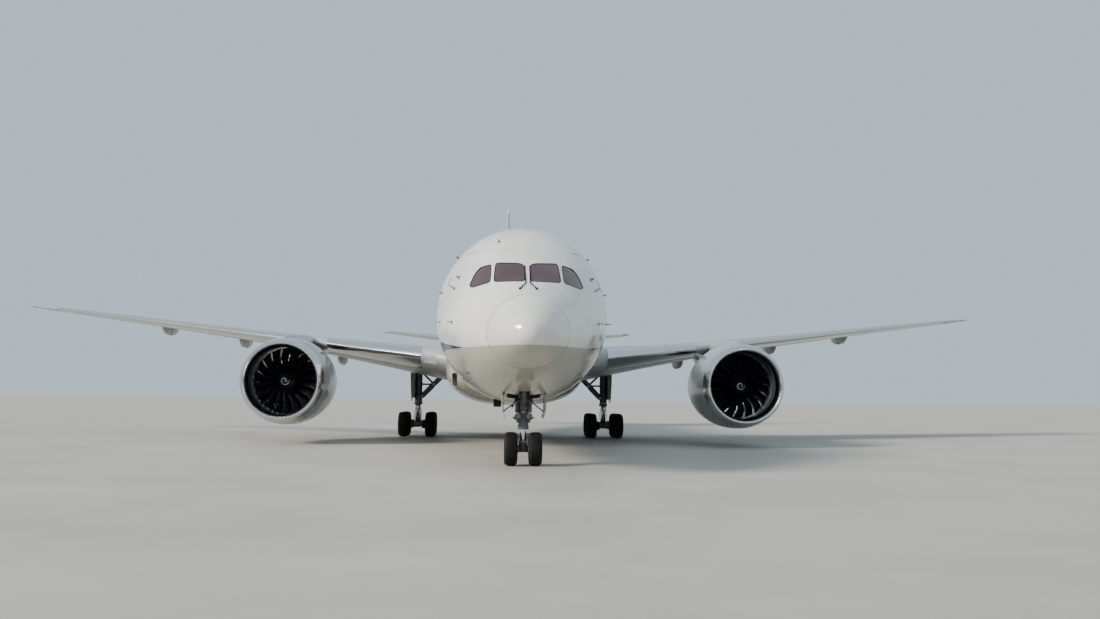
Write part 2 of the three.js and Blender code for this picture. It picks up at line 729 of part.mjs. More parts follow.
/** The engine behind the fan: core cowl, nozzle and plug, carried on a ring of guide vanes. */
function core() {
  const vanes = Array.from({ length: VANES }, (_, i) => {
    const angle = (2 * Math.PI * i) / VANES;
    const [s, c] = [Math.sin(angle), Math.cos(angle)];
    const ring = (r) =>
      [[-22, 900], [22, 900], [22, 1500], [-22, 1500]].map(([side, along]) => [
        ENGINE_X + r * s + side * c,
        FAN_STATION + along,
        ENGINE_Z + r * c - side * s,
      ]);
    return bar(ring(600), ring(1560));
  });
  const duct = fanFrame(
    [[-500, 0], ...COWL_INSIDE.toReversed().map(([a, r]) => [a, r - 2 * GAP]), [4050, 0]],
    ENGINE_X,
    COWL_SIDES,
  );
  const ring = joined(...vanes).intersect(duct);
  return largest(joined(fanFrame([...CORE_COWL, ...NOZZLE_AND_PLUG], ENGINE_X, CORE_SIDES), ring));
}

/** The fan: hub with its cone and swept, twisted blades. */
function fan() {
  const hub = turned(CONE, [0, 0, 0], alongAircraft, 20);
  const blades = Array.from({ length: FAN_BLADES }, (_, i) => {
    const place = (2 * Math.PI * i) / FAN_BLADES;
    return loft(
      BLADE.map(([radius, chord, stagger, sweep, thick]) => {
        const lean = THREE.MathUtils.degToRad(stagger);
        return [[-0.5, 0], [0, 0.5], [0.5, 0], [0, -0.5]].map(([c, t]) => {
          const along = BLADE_MIDDLE + sweep + c * chord * Math.cos(lean) - t * thick * Math.sin(lean);
          const side = c * chord * Math.sin(lean) + t * thick * Math.cos(lean);
          const angle = place + side / radius;
          return [radius * Math.sin(angle), along, radius * Math.cos(angle)];
        });
      }),
    );
  });
  return largest(joined(hub, ...blades));
}

// Pylon: station, half width, top, bottom
const PYLON = [
  [17900, 40, 4590, 4300],
  [18900, 170, 4690, 4000],
  [20600, 235, 4810, 3500],
  [22400, 265, 4890, 3300],
  [24200, 265, 4900, 3330],
  [26600, 220, 4750, 3750],
  [28400, 60, 4650, 4220],
];

function pylon(wing) {
  const bare = loft(
    PYLON.map(([station, half, top, bottom]) =>
      [
        [half, top - half], [0.5 * half, top], [-0.5 * half, top], [-half, top - half],
        [-half, bottom + 0.5 * half], [-0.4 * half, bottom],
        [0.4 * half, bottom], [half, bottom + 0.5 * half],
      ].map(([x, z]) => [ENGINE_X + x, station, z]),
    ),
  );
  const grown = 2 * GAP;
  const shell = fanFrame([...COWL_OUTSIDE, ...COWL_INSIDE, COWL_OUTSIDE[0]], ENGINE_X, COWL_SIDES, grown);
  const shellIn = fanFrame([...COWL_OUTSIDE, ...COWL_INSIDE, COWL_OUTSIDE[0]], ENGINE_X, COWL_SIDES, -grown);
  const duct = box([ENGINE_X - 600, 0, 0], [ENGINE_X + 600, FAN_STATION + 2300, ENGINE_Z + 1700]);
  const filledCore = fanFrame([...CORE_COWL, [5750, 0]], ENGINE_X, CORE_SIDES, grown);
  const cleared = cut(bare, shell, shellIn, filledCore, duct);
  return seatedOn(cleared, wing, [[0, 0, -1], [0, -1, 0], [0, -1, -1], [1, 0, -1], [-1, 0, -1]]);
}

// Landing gear

const NOSE_TYRE = { radius: 508, width: 400, rim: 215 };
const MAIN_TYRE = { radius: 635, width: 500, rim: 300 };
const NOSE_SPREAD = 372; // wheel centre from the leg
const MAIN_SPREAD = 690;
const TRUCK_HALF = 730; // axle ahead of and behind the leg
const TYRE_SIDES = 20;
const acrossAircraft = [1, 0, 0];

/** A tyre about the x axis at x: the wide flat of its tread meets the ground. */
function tyre({ radius, width, rim }, x, station) {
  const half = width / 2;
  const tread = radius / Math.cos(Math.PI / TYRE_SIDES); // the flats lie at the rolling radius
  const side = rim + 0.55 * (radius - rim);
  return turnedWheel(
    [
      [-0.66 * half, rim], [-half, side], [-0.66 * half, tread],
      [0.66 * half, tread], [half, side], [0.66 * half, rim], [-0.66 * half, rim],
    ],
    x,
    station,
    radius,
  );
}

/** A turned solid about an axle, with a flat side down. Profile points are [along x, radius]. */
function turnedWheel(profile, x, station, height) {
  const points = profile.map(([along, r]) => new THREE.Vector2(r, along));
  const matrix = new THREE.Matrix4()
    .makeTranslation(x, station, height)
    .multiply(new THREE.Matrix4().makeRotationX(Math.PI / TYRE_SIDES))
    .multiply(new THREE.Matrix4().makeRotationZ(-Math.PI / 2));
  return fromGeometry(new THREE.LatheGeometry(points, TYRE_SIDES), matrix);
}

/** Two wheels on the axle that turns with them. inner is where each hub's inner face is. */
function wheelPair({ radius, width, rim }, spread, axle, inner, x, station) {
  const half = width / 2;
  const hub = (sign) => {
    const face = sign * (inner - spread);
    const profile = [
      [face, 0], [face, 0.62 * rim], [-sign * 0.6 * half, rim - GAP], [sign * 0.6 * half, rim - GAP],
      [sign * 0.2 * half, 0.6 * rim], [sign * 0.5 * half, 0.3 * rim], [sign * 0.5 * half, 0],
    ];
    return turnedWheel(profile, x + sign * spread, station, radius);
  };
  const shaft = rod([x - spread, station, radius], [x + spread, station, radius], axle, axle, 8);
  return joined(hub(1), hub(-1), shaft);
}

// Nose gear
const NOSE_LEG_TOP = 2600;
const NOSE_COLLAR = 1230; // where the turning part meets the leg
const NOSE_AXLE = 50;
const NOSE_PISTON = 92;
const NOSE_INNER = 150;

/** The fixed leg, drag brace, lamps, door rods and steering cylinders. */
function noseLeg() {
  const leg = rod([0, NOSE_GEAR - 40, NOSE_COLLAR], [0, NOSE_GEAR - 40, NOSE_LEG_TOP], 150, 150, 12);
  const bore = rod(
    [0, NOSE_GEAR - 40, 800],
    [0, NOSE_GEAR - 40, NOSE_COLLAR + 500],
    NOSE_PISTON + CLEAR,
    NOSE_PISTON + CLEAR,
    12,
  );
  const brace = rod([0, NOSE_GEAR - 60, 1750], [0, NOSE_GEAR - 1350, 2700], 70);
  const cross = rod([-260, NOSE_GEAR - 40, 1960], [260, NOSE_GEAR - 40, 1960], 60);
  const lamps = [-170, 170].map((x) =>
    joined(
      rod([x, NOSE_GEAR - 300, 1500], [x, NOSE_GEAR - 210, 1500], 95, 60),
      rod([x, NOSE_GEAR - 230, 1500], [0, NOSE_GEAR - 60, 1500], 32),
    ),
  );
  const rods = [1, -1].map((side) =>
    rod([side * 200, NOSE_GEAR - 40, 1950], [side * (DOOR_X - 30), NOSE_GEAR - 40, 1640], 22),
  );
  const steering = joined(
    rod([-260, NOSE_GEAR + 155, 1440], [260, NOSE_GEAR + 155, 1440], 55),
    rod([0, NOSE_GEAR, 1440], [0, NOSE_GEAR + 155, 1440], 70),
  );
  return cut(joined(leg, brace, cross, ...lamps, ...rods, steering), bore);
}

const DOOR_X = 640;
const NOSE_DOOR = { from: NOSE_GEAR - 560, to: NOSE_GEAR + 420, bottom: 1430, top: 2300, thick: 26 };

function noseDoor() {
  const { from, to, bottom, top, thick } = NOSE_DOOR;
  const ring = (station, low) => [
    [DOOR_X, station, top], [DOOR_X + thick, station, top],
    [DOOR_X - 10 + thick, station, low + 200], [DOOR_X - 70 + thick, station, low],
    [DOOR_X - 70, station, low], [DOOR_X - 10, station, low + 200],
  ];
  return loft([
    ring(from, bottom + 90), ring(from + 120, bottom), ring(to - 120, bottom), ring(to, bottom + 90),
  ]);
}

/** What steers: piston, collar, torque links and the axle housing. */
function noseSteering() {
  const y = NOSE_GEAR - 40;
  const collar = rod([0, y, NOSE_COLLAR - 130], [0, y, NOSE_COLLAR - GAP], 165, 165, 12);
  const { radius } = NOSE_TYRE;
  const piston = rod([0, y, radius], [0, y, NOSE_COLLAR + 300], NOSE_PISTON, NOSE_PISTON, 12);
  const half = NOSE_INNER - GAP;
  const housing = rod([-half, NOSE_GEAR, radius], [half, NOSE_GEAR, radius], 105, 105, 12);
  const links = joined(
    rod([0, y + 130, NOSE_COLLAR - 70], [0, y + 420, 870], 38),
    rod([0, y + 420, 870], [0, y + 60, 560], 38),
  );
  const past = 400;
  const bore = rod([-past, NOSE_GEAR, radius], [past, NOSE_GEAR, radius], NOSE_AXLE + CLEAR);
  const tow = joined(
    rod([-150, y - 150, 720], [150, y - 150, 720], 34),
    rod([0, y, 720], [0, y - 150, 720], 60),
  );
  return cut(joined(collar, piston, housing, links, tow), bore);
}

// Main gear
const MAIN_X = TRACK / 2;
const MAIN_AXLE = 62;
const MAIN_INNER = 470;
const LEG_TOP = 4300;

/** Main leg with its truck beam, brakes, torque links and braces. */
function mainLeg(wing, fairing) {
  const [x, y, r] = [MAIN_X, MAIN_GEAR, MAIN_TYRE.radius];
  const barrel = rod([x, y, 1650], [x, y, LEG_TOP], 190, 190, 12);
  const piston = rod([x, y, r], [x, y, 1750], 120, 120, 12);
  const collar = rod([x, y, 1600], [x, y, 1760], 215, 215, 12);
  const beam = rod([x, y - TRUCK_HALF, r], [x, y + TRUCK_HALF, r], 125, 125, 12);
  const axles = [-TRUCK_HALF, TRUCK_HALF].map((offset) =>
    joined(
      rod([x - MAIN_INNER + GAP, y + offset, r], [x + MAIN_INNER - GAP, y + offset, r], 110, 110, 12),
      rod([x - MAIN_INNER + GAP, y + offset, r], [x - MAIN_INNER + 190, y + offset, r], 215, 215, 12),
      rod([x + MAIN_INNER - 190, y + offset, r], [x + MAIN_INNER - GAP, y + offset, r], 215, 215, 12),
    ),
  );
  const bores = [-TRUCK_HALF, TRUCK_HALF].map((offset) =>
    rod([x - 900, y + offset, r], [x + 900, y + offset, r], MAIN_AXLE + CLEAR, MAIN_AXLE + CLEAR, 12),
  );
  const links = joined(
    rod([x, y - 150, 1600], [x, y - 480, 1150], 45),
    rod([x, y - 480, 1150], [x, y - 60, 720], 45),
  );
  const sideBrace = rod([x - 60, y + 40, 1950], [x - 1460, y - 300, 3400], 125, 115);
  const elbow = [x - 800, y - 140, 2715]; // where the side brace folds
  const lock = joined(rod([x - 100, y + 20, 3400], elbow, 55), rod([x - 60, y + 20, 2720], elbow, 45));
  const dragBrace = rod([x, y - 60, 2050], [x - 200, y - 1500, 4100], 95, 95);
  const parts = joined(barrel, piston, collar, beam, ...axles, links, sideBrace, lock, dragBrace);
  const leg = cut(parts, ...bores);
  const onWing = seatedOn(leg, wing, [[0, 0, -1], [0, 0, -2]]);
  return seatedOn(onWing, fairing, [[1, 0, 0], [1, 0, -1], [0, 0, -1]]);
}

/** The panel that the main leg carries on its outboard side. */
function mainGearDoor(wing) {
  const [x, y] = [MAIN_X + 300, MAIN_GEAR];
  const ring = (station, low, high) =>
    [[x, low], [x + 30, low], [x + 80, high], [x + 50, high]].map(([a, z]) => [a, station, z]);
  const panel = loft([
    ring(y - 700, 2100, 3900), ring(y - 560, 1850, 4000),
    ring(y + 120, 1850, 4000), ring(y + 260, 2100, 3900), // ahead of the flap
  ]);
  const arms = [2150, 2900].map((z) => rod([x + 20, y, z], [x - 250, y, z], 45));
  const barrel = rod([MAIN_X, y, 1600], [MAIN_X, y, LEG_TOP], 190 + 1.5 * GAP, 190 + 1.5 * GAP, 12);
  return seatedOn(cut(joined(panel, ...arms), barrel), wing, [[0, 0, -30]]);
}

// Assembly

const airliner = new THREE.Group();

const windows = flightDeckWindows();
const doors = CARGO_DOORS.map(([name, first, last]) => ({ name, ...cargoDoor(first, last) }));
const tube = body(0);
const tubeGrown = body(GAP);
const fairing = cut(bellyFairing(), tubeGrown);
const ahead = (station) => box([-FAR, -FAR, -FAR], [FAR, station, 2 * FAR]);

const radome = tube.intersect(ahead(RADOME_END - GAP));
const tailCone = cut(tube, ahead(TAIL_CONE_START + GAP));
const fuselage = cut(tube, ahead(RADOME_END), windows.pocket, ...doors.map((door) => door.hole)).intersect(
  ahead(TAIL_CONE_START),
);

const noseHubs = wheelPair(NOSE_TYRE, NOSE_SPREAD, NOSE_AXLE, NOSE_INNER, 0, NOSE_GEAR);
const rudderLine = RUDDER.map(([height, share]) => finHinge(height, share));
const tailFin = splitHinged(cut(finLoft(), tubeGrown), rudderLine, rudderEnds);

airliner.add(
  piece("fuselage", largest(fuselage), WHITE),
  piece("radome", radome, WHITE),
  piece("tail_cone", tailCone, BARE_METAL),
  piece("flight_deck_windows", windows.solid, GLASS),
  piece("belly_fairing", largest(fairing), BELLY_GREY),
  piece("fin", tailFin.fixed, WHITE),
  piece("rudder", tailFin.moving, WHITE),
  ...doors.map((door) => piece(door.name, door.solid, WHITE)),
  piece("nose_gear_leg", seatedOn(noseLeg(), tube, [[0, 0, -1], [0, 0, -2]]), GEAR_GREY),
  piece("nose_gear_steering", noseSteering(), GEAR_GREY),
  piece("nose_wheel_hubs", noseHubs, WHEEL_GREY),
);

const wing = wingPieces(bellyFairing(GAP), tubeGrown);
const elevatorLine = ELEVATOR.map(([place, share]) => wingHinge(STABILISER, 0, place, share));
const stabiliserWhole = largest(cut(wingLike(STABILISER, 0), tubeGrown));
const stabiliser = splitHinged(stabiliserWhole, elevatorLine, squareEnds);
const pylonSolid = pylon(joined(wing.fixed, ...Object.values(wing.pieces)));
const mainLegSolid = mainLeg(wing.whole, bellyFairing());

const fanSolid = fan();

for (const [side, sign] of [["left", 1], ["right", -1]]) {
  const half = new THREE.Group();
  half.scale.x = sign; // the starboard half is the port half's mirror image
  const add = (name, solid, material) => half.add(piece(`${name}_${side}`, solid, material));
  add("wing", wing.fixed, WING_GREY);
  for (const [name, solid] of Object.entries(wing.pieces)) {
    add(name, solid, name.startsWith("slat") ? BARE_METAL : WING_GREY);
  }
  add("stabiliser", stabiliser.fixed, WING_GREY);
  add("elevator", stabiliser.moving, WING_GREY);
  add("inlet_lip", lip(), BARE_METAL);
  add("cowl", cowl(), NACELLE_GREY);
  add("engine_core", core(), HOT_METAL);
  add("pylon", pylonSolid, NACELLE_GREY);
  add("main_gear_leg", mainLegSolid, GEAR_GREY);
  add("main_gear_door", mainGearDoor(wing.whole), BELLY_GREY);
  for (const [axle, offset] of [["front", -TRUCK_HALF], ["rear", TRUCK_HALF]]) {
    const station = MAIN_GEAR + offset;
    const hubs = wheelPair(MAIN_TYRE, MAIN_SPREAD, MAIN_AXLE, MAIN_INNER, MAIN_X, station);
    add(`main_wheel_hubs_${axle}`, hubs, WHEEL_GREY);
    for (const [place, spread] of [["inner", -MAIN_SPREAD], ["outer", MAIN_SPREAD]]) {
      add(`tyre_${axle}_${place}`, tyre(MAIN_TYRE, MAIN_X + spread, station), TYRE);
    }
  }
  add("nose_tyre", tyre(NOSE_TYRE, NOSE_SPREAD, NOSE_GEAR), TYRE);
  add("nose_gear_door", seatedOn(noseDoor(), tube, [[0, 0, -1], [0, 0, -2]]), BELLY_GREY);
  airliner.add(half);

  const rotor = piece(`fan_${side}`, fanSolid, FAN_METAL); // both fans turn the same way
  rotor.position.set(sign * ENGINE_X, FAN_STATION, ENGINE_Z);
  airliner.add(rotor);
}

airliner.scale.setScalar(SCALE);
airliner.position.y = (-LENGTH / 2) * SCALE;

export default airliner;
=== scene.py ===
"""Looks of a wide body twin-engine airliner, parked on its gear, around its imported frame.

Shapes are given at the size of the full-size aircraft, in metres: x towards its port side, station
aft from the nose tip, z up from the ground. MODEL takes them to the 1:2 model's own frame.
"""
import json
from math import copysign, cos, pi, radians, sin, sqrt

import bmesh
import bpy
import numpy as np
from mathutils import Matrix, Vector

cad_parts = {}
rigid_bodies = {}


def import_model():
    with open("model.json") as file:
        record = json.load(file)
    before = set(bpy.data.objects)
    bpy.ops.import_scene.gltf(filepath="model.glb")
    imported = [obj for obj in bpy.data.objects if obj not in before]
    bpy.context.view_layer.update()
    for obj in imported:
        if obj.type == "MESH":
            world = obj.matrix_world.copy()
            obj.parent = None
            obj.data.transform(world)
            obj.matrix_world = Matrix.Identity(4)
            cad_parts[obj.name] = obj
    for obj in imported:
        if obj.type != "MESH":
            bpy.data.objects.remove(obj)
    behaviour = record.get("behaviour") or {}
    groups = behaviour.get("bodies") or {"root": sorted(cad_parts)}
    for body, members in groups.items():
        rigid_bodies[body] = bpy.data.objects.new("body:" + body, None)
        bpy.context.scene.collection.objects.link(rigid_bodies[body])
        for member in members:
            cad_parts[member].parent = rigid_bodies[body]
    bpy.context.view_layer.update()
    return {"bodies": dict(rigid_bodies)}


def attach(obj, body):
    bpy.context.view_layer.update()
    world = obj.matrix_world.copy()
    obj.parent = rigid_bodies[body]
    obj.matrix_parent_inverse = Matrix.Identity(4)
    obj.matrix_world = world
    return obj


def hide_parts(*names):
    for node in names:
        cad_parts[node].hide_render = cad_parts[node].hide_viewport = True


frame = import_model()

SCALE = 0.5
HALF_LENGTH = 28.36
MODEL = Matrix.Translation((0, -HALF_LENGTH * SCALE, 0)) @ Matrix.Scale(SCALE, 4)
PORT, AFT, UP = (Vector(v) for v in ((1, 0, 0), (0, 1, 0), (0, 0, 1)))
scene = bpy.context.scene

# Camera, at the photograph's viewing angle

CAMERA_AT = (-0.875, -25.414, 2.042)
CAMERA_YAW, CAMERA_PITCH, CAMERA_ROLL = (radians(a) for a in (3.095, 5.081, 0.606))
FOCAL_PIXELS = 999.1
IMAGE_WIDTH = 1100
SENSOR = 36.0


def make_camera():
    """The lens that sees the aircraft from ahead, from two metres up."""
    lens = bpy.data.cameras.new("view")
    lens.sensor_width = SENSOR
    lens.lens = SENSOR * FOCAL_PIXELS / IMAGE_WIDTH
    lens.clip_start, lens.clip_end = 0.1, 2000
    ahead = Vector((
        sin(CAMERA_YAW) * cos(CAMERA_PITCH),
        cos(CAMERA_YAW) * cos(CAMERA_PITCH),
        sin(CAMERA_PITCH),
    ))
    level = Vector((cos(CAMERA_YAW), -sin(CAMERA_YAW), 0))
    up = level.cross(ahead)
    right = level * cos(CAMERA_ROLL) + up * sin(CAMERA_ROLL)
    up = up * cos(CAMERA_ROLL) - level * sin(CAMERA_ROLL)
    camera = bpy.data.objects.new("view", lens)
    camera.matrix_world = Matrix((
        (right.x, up.x, -ahead.x, 0), (right.y, up.y, -ahead.y, 0),
        (right.z, up.z, -ahead.z, 0), (0, 0, 0, 1),
    ))
    camera.location = MODEL @ Vector(CAMERA_AT)
    scene.collection.objects.link(camera)
    scene.camera = camera


make_camera()

# Shapes


def mesh_of(points, faces):
    """A closed mesh whose faces point out."""
    made = bpy.data.meshes.new("shape")
    made.from_pydata([tuple(p) for p in points], [], faces)
    work = bmesh.new()
    work.from_mesh(made)
    bmesh.ops.remove_doubles(work, verts=work.verts, dist=1e-6)
    if work.calc_volume(signed=True) < 0:
        bmesh.ops.reverse_faces(work, faces=work.faces)
    work.to_mesh(made)
    work.free()
    return made


def loft(rings, loop=False):
    """A skin over rings of the same number of points; loop joins the last ring to the first."""
    count = len(rings[0])
    points = [p for ring in rings for p in ring]
    faces = []
    for r in range(len(rings) if loop else len(rings) - 1):
        a, b = r * count, ((r + 1) % len(rings)) * count
        for i in range(count):
            j = (i + 1) % count
            faces.append((a + i, a + j, b + j, b + i))
    if not loop:
        faces.append(tuple(range(count))[::-1])
        faces.append(tuple(range((len(rings) - 1) * count, len(rings) * count)))
    return mesh_of(points, faces)


def together(*meshes):
    """Meshes gathered into one, without cutting them."""
    work = bmesh.new()
    for m in meshes:
        work.from_mesh(m)
    made = bpy.data.meshes.new("shape")
    work.to_mesh(made)
    work.free()
    return made


def carved(base, *others, how="DIFFERENCE"):
    """base with the others cut away; how may also be INTERSECT or UNION."""
    workpiece = bpy.data.objects.new("workpiece", base)
    scene.collection.objects.link(workpiece)
    tools = []
    for other in others:
        tool = bpy.data.objects.new("tool", other)
        scene.collection.objects.link(tool)
        step = workpiece.modifiers.new("carve", "BOOLEAN")
        step.solver = "MANIFOLD"
        step.operation = how
        step.object = tool
        tools.append(tool)
    graph = bpy.context.evaluated_depsgraph_get()
    made = bpy.data.meshes.new_from_object(workpiece.evaluated_get(graph))
    for o in [workpiece, *tools]:
        bpy.data.objects.remove(o)
    return made


def common(*meshes):
    """What all the solids share."""
    return carved(*meshes, how="INTERSECT")


def joined(*meshes):
    """Solids made into one."""
    return carved(*meshes, how="UNION")


def moved(mesh, matrix):
    """A copy of a mesh, placed by a matrix."""
    made = mesh.copy()
    made.transform(matrix)
    if matrix.determinant() < 0:
        made.flip_normals()
    return made


def mirrored(mesh):
    return moved(mesh, Matrix.Scale(-1, 4, (1, 0, 0)))


def monotone(xs, table, at):
    """Smooth values at places between the rows of a table, without overshoot."""
    xs, table, at = (np.asarray(v, float) for v in (xs, table, at))
    step = np.diff(xs)[:, None]
    slope = np.diff(table, axis=0) / step
    tangent = np.zeros_like(table)
    tangent[0], tangent[-1] = slope[0], slope[-1]
    same = slope[:-1] * slope[1:] > 0
    w1, w2 = 2 * step[1:] + step[:-1], step[1:] + 2 * step[:-1]
    with np.errstate(divide="ignore", invalid="ignore"):
        mean = (w1 + w2) / (w1 / slope[:-1] + w2 / slope[1:])
    tangent[1:-1] = np.where(same, mean, 0)
    k = np.clip(np.searchsorted(xs, at) - 1, 0, len(xs) - 2)
    h = step[k]
    t = ((at - xs[k])[:, None]) / h
    return (
        table[k] * (1 + 2 * t) * (1 - t) ** 2 + tangent[k] * h * t * (1 - t) ** 2
        + table[k + 1] * t * t * (3 - 2 * t) + tangent[k + 1] * h * t * t * (t - 1)
    )


def frame_from(start, end, side=(0, 1, 0)):
    """A frame at start: along the line to end, square to it on the side named, and across."""
    start, end = Vector(start), Vector(end)
    along = (end - start).normalized()
    side = Vector(side)
    square = (side - along * side.dot(along)).normalized()
    across = along.cross(square)
    made = Matrix((along, square, across)).transposed().to_4x4()
    made.translation = start
    return made


def block(low, high, place=Matrix()):
    """A box between two corners of a frame."""
    corner = [
        (x, y, z) for x in (low[0], high[0]) for y in (low[1], high[1]) for z in (low[2], high[2])
    ]
    faces = [(0, 1, 3, 2), (4, 6, 7, 5), (0, 4, 5, 1), (2, 3, 7, 6), (0, 2, 6, 4), (1, 5, 7, 3)]
    return mesh_of([place @ Vector(c) for c in corner], faces)


POINT = 1e-4  # radius of a turned solid's closed end


def turns(count, offset=0.0):
    """Angles evenly round a circle; offset is in steps."""
    return [2 * pi * (k + offset) / count for k in range(count)]


def around(along, radius, angle):
    """A point along the first axis, out from it, and round it."""
    return Vector((along, radius * sin(angle), radius * cos(angle)))


def lathe(profile, place, sides=64, loop=False):
    """A turned solid about the frame's first axis. Profile points are (along, radius)."""
    rings = []
    for along, radius in profile:
        rings.append([place @ around(along, max(radius, POINT), a) for a in turns(sides)])
    return loft(rings, loop=loop)


def rod(a, b, radius, radius_b=None, sides=24, bevel=0.0):
    """A round bar, which may taper, with eased ends."""
    length = (Vector(b) - Vector(a)).length
    end = radius if radius_b is None else radius_b
    side = (0, 0, 1) if abs((Vector(b) - Vector(a)).normalized().z) < 0.9 else (1, 0, 0)
    profile = [(0, radius), (length, end)]
    if bevel:
        profile = [(0, radius - bevel), (bevel, radius), (length - bevel, end), (length, end - bevel)]
    return lathe(profile, frame_from(a, b, side), sides)


def spindle(centre, reach, radius, **more):
    """A round bar that reaches equally far on both sides of its centre."""
    centre = Vector(centre)
    return rod(centre - reach, centre + reach, radius, **more)


def pipe(points, radius, sides=10):
    """A round pipe bent smoothly through points."""
    points = np.array(points, float)
    far = np.concatenate([[0], np.cumsum(np.linalg.norm(np.diff(points, axis=0), axis=1))])
    path = monotone(far, points, np.linspace(0, far[-1], 6 * len(points)))
    rings = []
    side = Vector((0.3, 0.5, 0.8))
    for i, p in enumerate(path):
        ahead = Vector(path[min(i + 1, len(path) - 1)] - path[max(i - 1, 0)]).normalized()
        side = (side - ahead * side.dot(ahead)).normalized()
        across = ahead.cross(side)
        rings.append([
            Vector(p) + radius * (side * cos(a) + across * sin(a)) for a in turns(sides)
        ])
    return loft(rings)


def rounded(outline, radius, steps=5):
    """An outline with its corners rounded."""
    made = []
    count = len(outline)
    for i in range(count):
        before, corner, after = (Vector(outline[(i + k) % count]) for k in (-1, 0, 1))
        reach_in = min(radius, 0.49 * (before - corner).length)
        reach_out = min(radius, 0.49 * (after - corner).length)
        start = corner + (before - corner).normalized() * reach_in
        end = corner + (after - corner).normalized() * reach_out
        for k in range(steps + 1):
            t = k / steps
            made.append(start * (1 - t) ** 2 + corner * 2 * t * (1 - t) + end * t * t)
    return made


def rounded_box(low, high, radius, steps=5):
    corners = [(low[0], low[1]), (high[0], low[1]), (high[0], high[1]), (low[0], high[1])]
    return rounded(corners, radius, steps)


def grown(outline, margin):
    """An outline moved outwards by a margin."""
    count = len(outline)
    area = sum(
        outline[i - 1][0] * outline[i][1] - outline[i][0] * outline[i - 1][1] for i in range(count)
    )
    turn = copysign(1, area)
    made = []
    for i in range(count):
        along = (Vector(outline[(i + 1) % count]) - Vector(outline[i - 1])).normalized()
        made.append(Vector(outline[i]) + margin * turn * Vector((along.y, -along.x)))
    return made


def lifted(outline, axis, at):
    """Flat points as points of space, square to an axis: 0 for x, 1 for the stations, 2 for z."""
    return [Vector((*p[:axis], at, *p[axis:])) for p in (tuple(q) for q in outline)]


def prism(outline, axis, low, high):
    return loft([lifted(outline, axis, low), lifted(outline, axis, high)])


def rim_prism(outline, width, axis, low, high):
    """A prism over the rim of an outline, as wide as width, centred on the line."""
    outer, inner = grown(outline, width / 2), grown(outline, -width / 2)
    rings = [(outer, low), (outer, high), (inner, high), (inner, low)]
    return loft([lifted(ring, axis, at) for ring, at in rings], loop=True)


def plate(place, half_length, half_width, thick=0.008, sink=0.02):
    """A thin rounded plate on a frame's origin."""
    outline = rounded_box((-half_length, -half_width), (half_length, half_width), 0.8 * half_width, 4)
    return loft([[place @ Vector((up, *p)) for p in outline] for up in (-sink, thick)])


def blade(place, height, chord, lean, thick=0.012):
    """A swept blade on a foot plate, with an oval section that narrows outwards."""
    rings = []
    for up, share in ((-0.02, 1.0), (0.3 * height, 0.92), (0.85 * height, 0.7), (height, 0.5)):
        back, long, half = lean * up / height, 0.5 * chord * share, thick * share
        rings.append([
            place @ Vector((up, back + long * cos(a), half * sin(a))) for a in turns(20)
        ])
    return together(loft(rings), plate(place, 0.6 * chord, 4 * thick))


def lamp(back, radius):
    """A sealed lamp that faces ahead: its bowl with the rim, and its lens."""
    place = frame_from(back, Vector(back) - Vector((0, 1, 0)), (0, 0, 1))
    bowl = [(0, 0), (0, 0.47), (0.32, 0.79), (0.84, 0.97), (1.16, 1), (1.16, 0.9), (1.05, 0.88), (1.05, 0)]
    lens = [(1.05, 0), (1.05, 0.87), (1.13, 0.8), (1.19, 0.42), (1.21, 0)]
    return tuple(lathe([(a * radius, r * radius) for a, r in rows], place, 40) for rows in (bowl, lens))


SHARP_FROM = 32  # degrees between faces from which an edge is seen as one


def piece(name, mesh, finish, slot=None, replaces=(), body="airframe", bevel=0.0):
    """A named piece in the model's frame, in one finish, riding on a body."""
    shape = mesh.copy()
    shape.name = name
    shape.transform(MODEL)
    shape.materials.clear()
    shape.materials.append(finish)
    shape.polygons.foreach_set("use_smooth", [True] * len(shape.polygons))
    shape.set_sharp_from_angle(angle=radians(SHARP_FROM))
    made = bpy.data.objects.new(name, shape)
    scene.collection.objects.link(made)
    if bevel:
        step = made.modifiers.new("eased", "BEVEL")
        step.width = bevel * SCALE
        step.segments = 2
        step.limit_method = "ANGLE"
        step.angle_limit = radians(40)
    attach(made, body)
    if replaces:
        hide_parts(*replaces)
    return made


SIDES = (("left", 1), ("right", -1))


def pair(name, mesh, finish, slot=None, replaces=(), body="airframe"):
    """A piece on the port side and its mirror image on the starboard side."""
    for side, sign in SIDES:
        shape = mesh if sign > 0 else mirrored(mesh)
        on = f"{body}_{side}" if f"{body}_{side}" in frame["bodies"] else body
        nodes = [f"{n}_{side}" for n in replaces]
        piece(f"{name}_{side}", shape, finish, slot, nodes, on)


# Finishes


def linear(code):
    """An sRGB hex colour as linear numbers with alpha."""
    channels = [int(code[i : i + 2], 16) / 255 for i in (0, 2, 4)]
    return [c / 12.92 if c <= 0.04045 else ((c + 0.055) / 1.055) ** 2.4 for c in channels] + [1.0]


def add(tree, kind, sockets=None, **settings):
    """Adds a node with its settings; a socket takes a value, an output, or a node's first output."""
    made = tree.nodes.new("ShaderNode" + kind)
    for name, value in settings.items():
        setattr(made, name, value)
    for name, value in (sockets or {}).items():
        if isinstance(value, bpy.types.Node):
            value = value.outputs[0]
        if isinstance(value, bpy.types.NodeSocket):
            tree.links.new(value, made.inputs[name])
        else:
            made.inputs[name].default_value = value
    return made


def new_finish(name):
    """A material with its tree, its shader and the place of the point at rest."""
    made = bpy.data.materials.new(name)
    made.use_nodes = True
    tree = made.node_tree
    tree.nodes.clear()
    shader = add(tree, "BsdfPrincipled")
    add(tree, "OutputMaterial", {"Surface": shader.outputs[0]})
    place = add(tree, "TexCoord").outputs["Object"]
    return made, tree, shader, place


